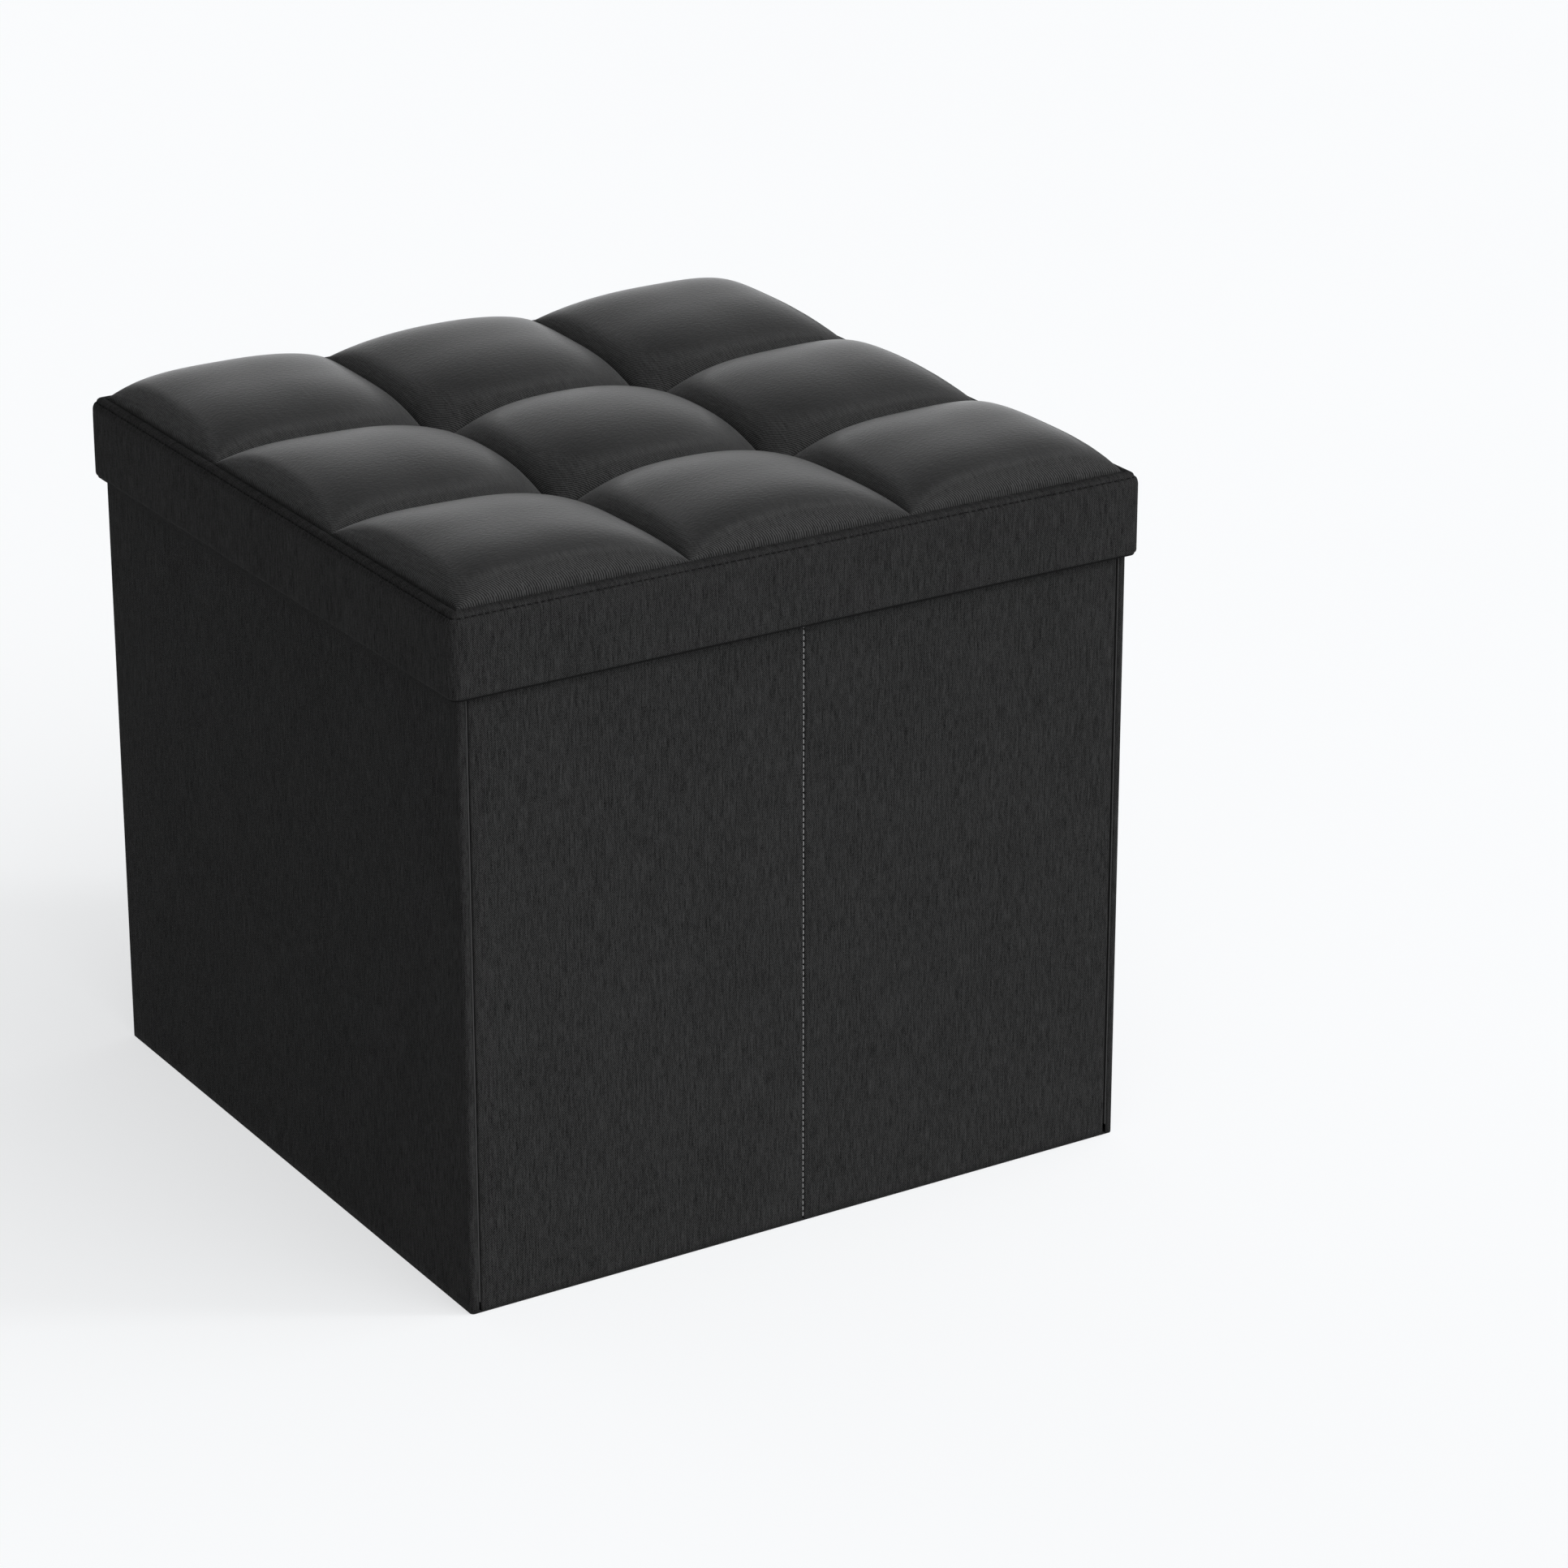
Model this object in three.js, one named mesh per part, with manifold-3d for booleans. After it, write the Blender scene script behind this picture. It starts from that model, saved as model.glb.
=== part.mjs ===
// Folding storage ottoman: a fabric-covered cube with a lift-off padded lid and a loose base board.
// Millimetres, +Z up. The origin is on the ground under the middle of the box, and the front faces -Y.

import * as THREE from 'three';
import { mergeVertices } from 'three/addons/utils/BufferGeometryUtils.js';
import Module from 'manifold-3d';

const wasm = await Module();
wasm.setup();

// Driving dimensions

const BOX_WIDTH = 370;
const BOX_DEPTH = 370;
const WALL_TOP = 329;
const SKIRT_BOTTOM = 312;
const SEAM_HEIGHT = 353;
const CUSHION_CREST = 368;
const LID_OVERHANG = 5;

const GLUE_GAP = 0.2;
const RUNNING_GAP = 0.3;
const FOLD_CLEARANCE = 0.6;

// Wall build-up, from the outer face inwards: fabric cover, board, lining

const COVER_THICKNESS = 0.9;
const WALL_BOARD_THICKNESS = 3;
const LINING_THICKNESS = 0.6;
const BOARD_FROM = COVER_THICKNESS + GLUE_GAP;
const BOARD_TO = BOARD_FROM + WALL_BOARD_THICKNESS;
const LINING_FROM = BOARD_TO + GLUE_GAP;
const WALL_THICKNESS = LINING_FROM + LINING_THICKNESS;
const BOX_CORNER_RADIUS = 2;

// Floor and base board

const FLOOR_THICKNESS = 0.7;
const HEM_TOP = 5.5;
const WALL_BOTTOM = HEM_TOP + RUNNING_GAP;
const BASE_BOTTOM = FLOOR_THICKNESS + GLUE_GAP;
const BASE_BOARD_THICKNESS = 3;
const BASE_COVER_THICKNESS = 0.6;
const BASE_EDGE_GAP = 0.9;
const BASE_COVER_TOP = BASE_BOTTOM + BASE_BOARD_THICKNESS + GLUE_GAP + BASE_COVER_THICKNESS;
const LIFT_TAB = { length: 46, width: 22, thickness: 0.45, edgeInset: 14 };

// Lid

const LID_WIDTH = BOX_WIDTH + 2 * LID_OVERHANG;
const LID_DEPTH = BOX_DEPTH + 2 * LID_OVERHANG;
const LID_CORNER_RADIUS = 5.5;
const SKIRT_TOP_RADIUS = 6;
const SKIRT_HEM_RADIUS = 0.8;
const SEAM_INSET = 7.4;
const RAIL_THICKNESS = 2.4;
const RAIL_FROM = COVER_THICKNESS + GLUE_GAP;
const RAIL_TO = RAIL_FROM + RAIL_THICKNESS;
const RAIL_BOTTOM = SKIRT_BOTTOM + COVER_THICKNESS + GLUE_GAP;
const RAIL_TOP = SEAM_HEIGHT - SKIRT_TOP_RADIUS;
const SKIRT_RETURN_FROM = RAIL_TO + GLUE_GAP;
const SKIRT_RETURN_TO = SKIRT_RETURN_FROM + LINING_THICKNESS;
const SKIRT_RETURN_SHORTFALL = 2;
const LID_LINING_BOTTOM = WALL_TOP + RUNNING_GAP;
const LID_BOARD_BOTTOM = LID_LINING_BOTTOM + LINING_THICKNESS + GLUE_GAP;
const LID_BOARD_THICKNESS = 5;
const LID_BOARD_TOP = LID_BOARD_BOTTOM + LID_BOARD_THICKNESS;
const LID_BOARD_INSET = RAIL_TO + RUNNING_GAP;

// Tufted cushion: three by three pillows

const PILLOWS_PER_SIDE = 3;
const SEGMENTS_PER_PILLOW = 8;
const CUSHION_SEGMENTS = PILLOWS_PER_SIDE * SEGMENTS_PER_PILLOW;
const SEAM_DIP = 3;
const TUFT_DEPTH = 9;
const TUFT_REACH = 30;
const PILLOW_HEIGHT = CUSHION_CREST - SEAM_HEIGHT + SEAM_DIP;
const PILLOW_FULLNESS = 0.5;
const BORDER_SQUARENESS = 3.6;
const SEAM_SQUARENESS = 2.2;
const CUSHION_COVER_THICKNESS = 1;
const TIE = { radius: 0.8, washerRadius: 5, washerThickness: 1.2, holeGap: 0.4 };

const ARC_STEPS = 6;
const ROUND_SEGMENTS = 16;
const SMALLEST_RADIUS = 0.4;
const CUT_OVERRUN = 1;
const WELD_DISTANCE = 1e-4;
const CELL_TOLERANCE = 1e-6;
const HALF_PI = Math.PI / 2;

// Materials

const finish = (name, color, roughness, metalness = 0) =>
  new THREE.MeshStandardMaterial({ name, color, roughness, metalness });

const MATERIALS = {
  coverFabric: () => finish('cover_fabric', 0x2b2b2b, 0.9),
  liningFabric: () => finish('lining_fabric', 0x151515, 0.95),
  wallBoard: () => finish('wall_board', 0x8a6a48, 0.8),
  lidBoard: () => finish('lid_board', 0xb08d5e, 0.75),
  foam: () => finish('foam', 0xe6dfc6, 1),
  ribbon: () => finish('ribbon', 0x1c1c1c, 0.7),
  tieThread: () => finish('tie_thread', 0x222222, 0.6),
};

// Solid helpers

function toSolid(geometry) {
  const bare = geometry.clone();
  bare.deleteAttribute('normal');
  bare.deleteAttribute('uv');
  const welded = mergeVertices(bare, WELD_DISTANCE);
  return new wasm.Manifold(new wasm.Mesh({
    numProp: 3,
    vertProperties: new Float32Array(welded.attributes.position.array),
    triVerts: new Uint32Array(welded.index.array),
  }));
}

function toGeometry(solid) {
  const { vertProperties, triVerts } = solid.getMesh();
  const geometry = new THREE.BufferGeometry();
  geometry.setAttribute('position', new THREE.BufferAttribute(vertProperties, 3));
  geometry.setIndex(new THREE.BufferAttribute(triVerts, 1));
  geometry.computeVertexNormals();
  return geometry;
}

const cut = (geometry, ...tools) =>
  toGeometry(tools.reduce((solid, tool) => solid.subtract(toSolid(tool)), toSolid(geometry)));

// A plan outline from x0, y0 to x1, y1, with a radius for each corner, counted anticlockwise from x0, y0
function planOutline([x0, x1], [y0, y1], radii) {
  const corners = [
    [x0, y0, 1, 1],
    [x1, y0, -1, 1],
    [x1, y1, -1, -1],
    [x0, y1, 1, -1],
  ];
  const points = [];
  corners.forEach(([x, y, inX, inY], corner) => {
    const radius = radii[corner];
    const steps = radius > 0 ? ARC_STEPS : 0;
    for (let step = 0; step <= steps; step += 1) {
      const angle = Math.PI + corner * HALF_PI + (steps ? (step / steps) * HALF_PI : 0);
      const reach = radius > 0 ? radius : 0;
      points.push(new THREE.Vector2(
        x + inX * reach + reach * Math.cos(angle),
        y + inY * reach + reach * Math.sin(angle),
      ));
    }
  });
  return new THREE.Shape(points);
}

// An upright block with the plan outline above, between two heights
function slab(xRange, yRange, [bottom, top], radii = [0, 0, 0, 0]) {
  const shape = planOutline(xRange, yRange, radii);
  const geometry = new THREE.ExtrudeGeometry(shape, { depth: top - bottom, bevelEnabled: false });
  return geometry.translate(0, 0, bottom);
}

const centred = (size, inset = 0) => [-size / 2 + inset, size / 2 - inset];

const upright = (radius, bottom, top, x = 0, y = 0) =>
  new THREE.CylinderGeometry(radius, radius, top - bottom, ROUND_SEGMENTS)
    .rotateX(HALF_PI)
    .translate(x, y, (bottom + top) / 2);

function part(name, geometry, material) {
  const mesh = new THREE.Mesh(geometry, material);
  mesh.name = name;
  return mesh;
}

// Walls

const FOLD_AXIS_INSET = WALL_THICKNESS + FOLD_CLEARANCE;
const CREASE_HALF_GAP = FOLD_CLEARANCE / 2;

// One layer of a wall. Depths are measured inwards from the wall's outer face.
function wallLayer(wall, depths, spanInset, heights, radius = 0) {
  const outer = wall.outward * wall.outerFace;
  const across = depths.map((depth) => outer - wall.outward * depth).sort((a, b) => a - b);
  const along = [wall.span[0] + spanInset, wall.span[1] - spanInset];
  const alongX = wall.normal === 'y';
  const rounded = wall.outward > 0 ? [0, radius, radius, 0] : [radius, 0, 0, radius];
  return alongX ? slab(along, across, heights) : slab(across, along, heights, rounded);
}

function wallParts(wall) {
  const radius = wall.normal === 'x' ? BOX_CORNER_RADIUS : 0;
  const heights = [WALL_BOTTOM, WALL_TOP];
  const boardHeights = [WALL_BOTTOM, WALL_TOP - COVER_THICKNESS - GLUE_GAP];
  const pocketHeights = [WALL_BOTTOM - CUT_OVERRUN, WALL_TOP - COVER_THICKNESS];
  const wrap = wallLayer(wall, [0, BOARD_TO], 0, heights, radius);
  const pocketDepths = [COVER_THICKNESS, WALL_THICKNESS];
  const pocketRadius = Math.max(radius - COVER_THICKNESS, 0);
  const pocket = wallLayer(wall, pocketDepths, COVER_THICKNESS, pocketHeights, pocketRadius);
  const boardRadius = Math.max(radius - BOARD_FROM, 0);
  const board = wallLayer(wall, [BOARD_FROM, BOARD_TO], BOARD_FROM, boardHeights, boardRadius);
  const lining = wallLayer(wall, [LINING_FROM, WALL_THICKNESS], 0, heights);
  return [
    part(`${wall.name}_cover`, cut(wrap, pocket), MATERIALS.coverFabric()),
    part(`${wall.name}_board`, board, MATERIALS.wallBoard()),
    part(`${wall.name}_lining`, lining, MATERIALS.liningFabric()),
  ];
}

const SIDE_SPAN = centred(BOX_DEPTH);
const LEFT_HALF_SPAN = [-BOX_WIDTH / 2 + FOLD_AXIS_INSET, -CREASE_HALF_GAP];
const RIGHT_HALF_SPAN = [CREASE_HALF_GAP, BOX_WIDTH / 2 - FOLD_AXIS_INSET];

const WALLS = [
  { name: 'left_wall', normal: 'x', outward: -1, outerFace: BOX_WIDTH / 2, span: SIDE_SPAN },
  { name: 'right_wall', normal: 'x', outward: 1, outerFace: BOX_WIDTH / 2, span: SIDE_SPAN },
  { name: 'front_left_panel', normal: 'y', outward: -1, outerFace: BOX_DEPTH / 2, span: LEFT_HALF_SPAN },
  { name: 'front_right_panel', normal: 'y', outward: -1, outerFace: BOX_DEPTH / 2, span: RIGHT_HALF_SPAN },
  { name: 'back_left_panel', normal: 'y', outward: 1, outerFace: BOX_DEPTH / 2, span: LEFT_HALF_SPAN },
  { name: 'back_right_panel', normal: 'y', outward: 1, outerFace: BOX_DEPTH / 2, span: RIGHT_HALF_SPAN },
];

// Fabric floor: a sheet under the box, with the turned-up hem that the walls stand on

function fabricFloor() {
  const radii = Array(4).fill(BOX_CORNER_RADIUS);
  const outer = slab(centred(BOX_WIDTH), centred(BOX_DEPTH), [0, HEM_TOP], radii);
  const well = slab(
    centred(BOX_WIDTH, WALL_THICKNESS),
    centred(BOX_DEPTH, WALL_THICKNESS),
    [FLOOR_THICKNESS, HEM_TOP + CUT_OVERRUN],
  );
  return part('fabric_floor', cut(outer, well), MATERIALS.liningFabric());
}

// Base board: a loose board in a fabric cover, lifted by a ribbon tab on its left edge

function baseParts() {
  const edge = WALL_THICKNESS + BASE_EDGE_GAP;
  const pocketEdge = edge + BASE_COVER_THICKNESS;
  const boardEdge = pocketEdge + GLUE_GAP;
  const boardTop = BASE_BOTTOM + BASE_BOARD_THICKNESS;
  const plate = (inset, heights) => slab(centred(BOX_WIDTH, inset), centred(BOX_DEPTH, inset), heights);
  const shell = plate(edge, [BASE_BOTTOM, BASE_COVER_TOP]);
  const pocket = plate(pocketEdge, [BASE_BOTTOM - CUT_OVERRUN, boardTop + GLUE_GAP]);
  const tabBottom = BASE_COVER_TOP + GLUE_GAP;
  const tabStart = -BOX_WIDTH / 2 + edge + LIFT_TAB.edgeInset;
  const tabRadius = LIFT_TAB.width / 2;
  const tab = slab(
    [tabStart, tabStart + LIFT_TAB.length],
    centred(LIFT_TAB.width),
    [tabBottom, tabBottom + LIFT_TAB.thickness],
    [0, tabRadius, tabRadius, 0],
  );
  return [
    part('base_board', plate(boardEdge, [BASE_BOTTOM, boardTop]), MATERIALS.wallBoard()),
    part('base_board_cover', cut(shell, pocket), MATERIALS.liningFabric()),
    part('base_lift_tab', tab, MATERIALS.ribbon()),
  ];
}

// Height of the cushion's top surface. Each pillow is domed, and squarer on its border sides than on its
// seam sides. The seams lie a little below the border and dip further at the four tufts.
function cushionHeight(x, y) {
  const across = (2 * x) / (LID_WIDTH - 2 * SEAM_INSET);
  const along = (2 * y) / (LID_DEPTH - 2 * SEAM_INSET);
  const dome = (t) => {
    const position = ((t + 1) / 2) * PILLOWS_PER_SIDE;
    const cell = Math.min(Math.floor(position + CELL_TOLERANCE), PILLOWS_PER_SIDE - 1);
    const fromMiddle = 2 * (position - cell) - 1;
    const onBorder = fromMiddle < 0 ? cell === 0 : cell === PILLOWS_PER_SIDE - 1;
    const squareness = onBorder ? BORDER_SQUARENESS : SEAM_SQUARENESS;
    return Math.max(1 - Math.abs(fromMiddle) ** squareness, 0);
  };
  const inside = (1 - across ** 4) * (1 - along ** 4);
  const pull = tuftPlaces()
    .map(([tuftX, tuftY]) => Math.exp(-(((x - tuftX) ** 2 + (y - tuftY) ** 2) / TUFT_REACH ** 2)))
    .reduce((total, share) => total + share, 0);
  const pillow = (dome(across) * dome(along)) ** PILLOW_FULLNESS;
  return SEAM_HEIGHT - SEAM_DIP * inside - TUFT_DEPTH * pull * (1 - pillow) + PILLOW_HEIGHT * pillow;
}

function tuftPlaces() {
  const x = (LID_WIDTH - 2 * SEAM_INSET) / (2 * PILLOWS_PER_SIDE);
  const y = (LID_DEPTH - 2 * SEAM_INSET) / (2 * PILLOWS_PER_SIDE);
  return [[-x, -y], [x, -y], [-x, y], [x, y]];
}

// A block between two height functions. Both faces share one grid, so that blocks stack without touching.
function cushionBlock(inset, topOf, bottomOf) {
  const width = LID_WIDTH - 2 * inset;
  const depth = LID_DEPTH - 2 * inset;
  const side = CUSHION_SEGMENTS + 1;
  const layer = side * side;
  const positions = [];
  const index = [];
  [topOf, bottomOf].forEach((heightOf) => {
    for (let vertex = 0; vertex < layer; vertex += 1) {
      const x = ((vertex % side) / CUSHION_SEGMENTS - 0.5) * width;
      const y = (Math.floor(vertex / side) / CUSHION_SEGMENTS - 0.5) * depth;
      positions.push(x, y, heightOf(x, y));
    }
  });
  for (let row = 0; row < CUSHION_SEGMENTS; row += 1) {
    for (let column = 0; column < CUSHION_SEGMENTS; column += 1) {
      const a = row * side + column;
      const [b, c, d] = [a + 1, a + side + 1, a + side];
      index.push(a, b, c, a, c, d);
      index.push(a + layer, c + layer, b + layer, a + layer, d + layer, c + layer);
    }
  }
  const edge = (from, to) => index.push(from, to + layer, to, from, from + layer, to + layer);
  for (let place = 0; place < CUSHION_SEGMENTS; place += 1) {
    const last = CUSHION_SEGMENTS * side;
    edge(place, place + 1);
    edge(last + place + 1, last + place);
    edge((place + 1) * side, place * side);
    edge(place * side + CUSHION_SEGMENTS, (place + 1) * side + CUSHION_SEGMENTS);
  }
  const geometry = new THREE.BufferGeometry();
  geometry.setAttribute('position', new THREE.Float32BufferAttribute(positions, 3));
  geometry.setIndex(index);
  geometry.computeVertexNormals();
  return geometry;
}

function cushionParts() {
  const coverBottom = (x, y) => cushionHeight(x, y) - CUSHION_COVER_THICKNESS;
  const foamTop = (x, y) => coverBottom(x, y) - RUNNING_GAP;
  const foamBottom = LID_BOARD_TOP + GLUE_GAP;
  const foam = cushionBlock(SEAM_INSET, foamTop, () => foamBottom);
  const tieHoles = tuftPlaces().map(([x, y]) =>
    upright(TIE.radius + TIE.holeGap, foamBottom - CUT_OVERRUN, SEAM_HEIGHT, x, y));
  return [
    part('cushion_foam', cut(foam, ...tieHoles), MATERIALS.foam()),
    part('cushion_cover', cushionBlock(SEAM_INSET, cushionHeight, coverBottom), MATERIALS.coverFabric()),
  ];
}

// Tuft ties: a thread through the foam and the lid board, held by a washer let into the board
function tieParts() {
  const washerTop = LID_BOARD_BOTTOM + TIE.washerThickness;
  return tuftPlaces().map(([x, y], index) => {
    const top = cushionHeight(x, y) - CUSHION_COVER_THICKNESS - 2 * RUNNING_GAP;
    const profile = [
      [0, LID_BOARD_BOTTOM],
      [TIE.washerRadius, LID_BOARD_BOTTOM],
      [TIE.washerRadius, washerTop],
      [TIE.radius, washerTop],
      [TIE.radius, top],
      [0, top],
    ].map(([radius, height]) => new THREE.Vector2(radius, height));
    const lathe = new THREE.LatheGeometry(profile, ROUND_SEGMENTS).rotateX(HALF_PI).translate(x, y, 0);
    return part(`tuft_tie_${index + 1}`, lathe, MATERIALS.tieThread());
  });
}

function lidBoard() {
  const board = slab(
    centred(LID_WIDTH, LID_BOARD_INSET),
    centred(LID_DEPTH, LID_BOARD_INSET),
    [LID_BOARD_BOTTOM, LID_BOARD_TOP],
  );
  const washerDepth = TIE.washerThickness + TIE.holeGap;
  const below = LID_BOARD_BOTTOM - CUT_OVERRUN;
  const holes = tuftPlaces().flatMap(([x, y]) => [
    upright(TIE.radius + TIE.holeGap, below, LID_BOARD_TOP + CUT_OVERRUN, x, y),
    upright(TIE.washerRadius + TIE.holeGap, below, LID_BOARD_BOTTOM + washerDepth, x, y),
  ]);
  return part('lid_board', cut(board, ...holes), MATERIALS.lidBoard());
}

function lidLining() {
  const edge = SKIRT_RETURN_TO + RUNNING_GAP;
  const heights = [LID_LINING_BOTTOM, LID_LINING_BOTTOM + LINING_THICKNESS];
  const sheet = slab(centred(LID_WIDTH, edge), centred(LID_DEPTH, edge), heights);
  return part('lid_lining', sheet, MATERIALS.liningFabric());
}

// Four rails carry the skirt, each between the lid's rounded corners.
function railParts() {
  const heights = [RAIL_BOTTOM, RAIL_TOP];
  const outerRadius = LID_CORNER_RADIUS - RAIL_FROM;
  const x = [LID_WIDTH / 2 - RAIL_TO, LID_WIDTH / 2 - RAIL_FROM];
  const y = [LID_DEPTH / 2 - RAIL_TO, LID_DEPTH / 2 - RAIL_FROM];
  const mirrored = ([near, far]) => [-far, -near];
  const sideSpan = centred(LID_DEPTH, RAIL_FROM + outerRadius);
  const endSpan = centred(LID_WIDTH, RAIL_FROM + outerRadius);
  return [
    part('lid_left_rail', slab(mirrored(x), sideSpan, heights), MATERIALS.wallBoard()),
    part('lid_right_rail', slab(x, sideSpan, heights), MATERIALS.wallBoard()),
    part('lid_front_rail', slab(endSpan, mirrored(y), heights), MATERIALS.wallBoard()),
    part('lid_back_rail', slab(endSpan, y, heights), MATERIALS.wallBoard()),
  ];
}

// The skirt's fabric in section, as distance in from the lid's side and height.
// It turns over the top edge to the cushion's seam, and under the rail to its inner face.
function skirtSection() {
  const arc = (inset, height, radius, from, to) =>
    Array.from({ length: ARC_STEPS + 1 }, (_, step) => {
      const angle = from + ((to - from) * step) / ARC_STEPS;
      return [inset + radius * Math.cos(angle), height + radius * Math.sin(angle)];
    });
  const returnTop = LID_LINING_BOTTOM - SKIRT_RETURN_SHORTFALL;
  const hemTop = SKIRT_BOTTOM + COVER_THICKNESS;
  const innerRadius = SKIRT_TOP_RADIUS - COVER_THICKNESS;
  return [
    ...arc(SKIRT_HEM_RADIUS, SKIRT_BOTTOM + SKIRT_HEM_RADIUS, SKIRT_HEM_RADIUS, Math.PI, 1.5 * Math.PI),
    [SKIRT_RETURN_TO, SKIRT_BOTTOM],
    [SKIRT_RETURN_TO, returnTop],
    [SKIRT_RETURN_FROM, returnTop],
    [SKIRT_RETURN_FROM, hemTop],
    [COVER_THICKNESS, hemTop],
    ...arc(SKIRT_TOP_RADIUS, RAIL_TOP, innerRadius, Math.PI, HALF_PI),
    [SEAM_INSET - RUNNING_GAP, SEAM_HEIGHT - COVER_THICKNESS],
    [SEAM_INSET - RUNNING_GAP, SEAM_HEIGHT],
    ...arc(SKIRT_TOP_RADIUS, RAIL_TOP, SKIRT_TOP_RADIUS, HALF_PI, Math.PI),
  ];
}

// A closed section carried round the lid's rounded rectangle
function ringGeometry(section) {
  const positions = [];
  const index = [];
  const stations = [];
  for (let corner = 0; corner < 4; corner += 1) {
    for (let step = 0; step <= ARC_STEPS; step += 1) {
      stations.push({ corner, angle: Math.PI + corner * HALF_PI + (step / ARC_STEPS) * HALF_PI });
    }
  }
  const sides = [[-1, -1], [1, -1], [1, 1], [-1, 1]];
  stations.forEach(({ corner, angle }) => {
    section.forEach(([inset, height]) => {
      const radius = Math.max(LID_CORNER_RADIUS - inset, SMALLEST_RADIUS);
      const [sideX, sideY] = sides[corner];
      positions.push(
        sideX * (LID_WIDTH / 2 - inset - radius) + radius * Math.cos(angle),
        sideY * (LID_DEPTH / 2 - inset - radius) + radius * Math.sin(angle),
        height,
      );
    });
  });
  const count = section.length;
  stations.forEach((_, station) => {
    const next = (station + 1) % stations.length;
    section.forEach((__, place) => {
      const after = (place + 1) % count;
      const [a, b] = [station * count + place, station * count + after];
      const [c, d] = [next * count + after, next * count + place];
      index.push(a, b, c, a, c, d);
    });
  });
  const geometry = new THREE.BufferGeometry();
  geometry.setAttribute('position', new THREE.Float32BufferAttribute(positions, 3));
  geometry.setIndex(index);
  geometry.computeVertexNormals();
  return geometry;
}

const skirtCover = () => part('lid_skirt_cover', ringGeometry(skirtSection()), MATERIALS.coverFabric());

// Assembly

const ottoman = new THREE.Group();

const box = new THREE.Group();
box.add(...WALLS.flatMap(wallParts), fabricFloor());

const base = new THREE.Group();
base.add(...baseParts());

const lid = new THREE.Group();
lid.add(lidBoard(), lidLining(), ...railParts(), skirtCover(), ...cushionParts(), ...tieParts());

ottoman.add(box, base, lid);

export default ottoman;
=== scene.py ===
"""Folding storage ottoman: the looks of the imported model. Metres, +Z up, and the front faces -Y."""

import math

import bpy
import numpy as np
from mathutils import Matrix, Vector


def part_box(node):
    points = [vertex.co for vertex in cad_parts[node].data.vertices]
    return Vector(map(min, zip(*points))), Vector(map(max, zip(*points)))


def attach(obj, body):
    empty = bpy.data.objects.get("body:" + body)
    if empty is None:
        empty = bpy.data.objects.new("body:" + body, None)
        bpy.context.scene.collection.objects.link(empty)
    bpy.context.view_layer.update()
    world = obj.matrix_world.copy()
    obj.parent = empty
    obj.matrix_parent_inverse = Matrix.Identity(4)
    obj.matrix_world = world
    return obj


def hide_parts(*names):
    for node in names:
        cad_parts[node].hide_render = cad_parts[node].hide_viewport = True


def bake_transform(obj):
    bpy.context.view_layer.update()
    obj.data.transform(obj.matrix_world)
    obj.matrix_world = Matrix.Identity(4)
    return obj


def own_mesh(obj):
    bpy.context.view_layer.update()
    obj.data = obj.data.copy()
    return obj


MM = 0.001
QUARTER_TURN = math.pi / 2

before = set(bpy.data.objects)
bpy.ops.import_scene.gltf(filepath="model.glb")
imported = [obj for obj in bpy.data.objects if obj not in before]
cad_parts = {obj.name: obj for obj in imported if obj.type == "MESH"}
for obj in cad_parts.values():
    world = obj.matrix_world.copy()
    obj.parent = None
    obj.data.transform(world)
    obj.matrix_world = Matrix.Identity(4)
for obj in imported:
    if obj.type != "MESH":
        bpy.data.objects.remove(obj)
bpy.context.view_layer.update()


def box(node):
    """Lowest and highest corner of a CAD node, as arrays."""
    low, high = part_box(node)
    return np.array(low), np.array(high)


# Sizes read from the frame

FLOOR_BOX = box("fabric_floor")
BASE_BOX = box("base_board_cover")
SKIRT_BOX = box("lid_skirt_cover")
CUSHION_BOX = box("cushion_cover")
FOAM_BOX = box("cushion_foam")
LID_LINING_BOX = box("lid_lining")
TAB_BOX = box("base_lift_tab")

BOX_HALF = FLOOR_BOX[1][0]
LID_HALF = SKIRT_BOX[1][0]
BASE_HALF = BASE_BOX[1][0]
CUSHION_HALF = CUSHION_BOX[1][0]
SKIRT_BOTTOM = SKIRT_BOX[0][2]
SEAM_HEIGHT = SKIRT_BOX[1][2]
CUSHION_CREST = CUSHION_BOX[1][2]

# Sizes of the sewing

FABRIC = 0.75 * MM
BOX_CORNER_RADIUS = 2.0 * MM
PANEL_EDGE_RADIUS = 1.1 * MM
LID_CORNER_RADIUS = 5.5 * MM
SKIRT_TOP_RADIUS = 6.0 * MM
SKIRT_HEM_RADIUS = 1.6 * MM
SMALLEST_RADIUS = 0.1 * MM
SEAM_INSET = LID_HALF - CUSHION_HALF
CREASE_STITCH = {"pitch": 3.05 * MM, "length": 2.45 * MM, "radius": 0.34 * MM}
TOP_STITCH = {"pitch": 3.6 * MM, "length": 2.3 * MM, "radius": 0.28 * MM}
BASE_STITCH = {"pitch": 4.0 * MM, "length": 2.8 * MM, "radius": 0.25 * MM}
STAPLE = {"pitch": 45.0 * MM, "length": 10.0 * MM, "radius": 0.35 * MM}


# Mesh helpers


def make_piece(name, points, faces, face_uvs=None, smooth=True):
    """A mesh object from points, faces and one texture coordinate for each face corner."""
    mesh = bpy.data.meshes.new(name)
    mesh.from_pydata(np.asarray(points).tolist(), [], faces)
    if face_uvs is not None:
        layer = mesh.uv_layers.new(name="cloth")
        layer.data.foreach_set("uv", np.asarray(face_uvs, np.float32).ravel())
    mesh.polygons.foreach_set("use_smooth", [smooth] * len(mesh.polygons))
    mesh.update()
    piece = bpy.data.objects.new(name, mesh)
    bpy.context.scene.collection.objects.link(piece)
    return piece


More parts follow.
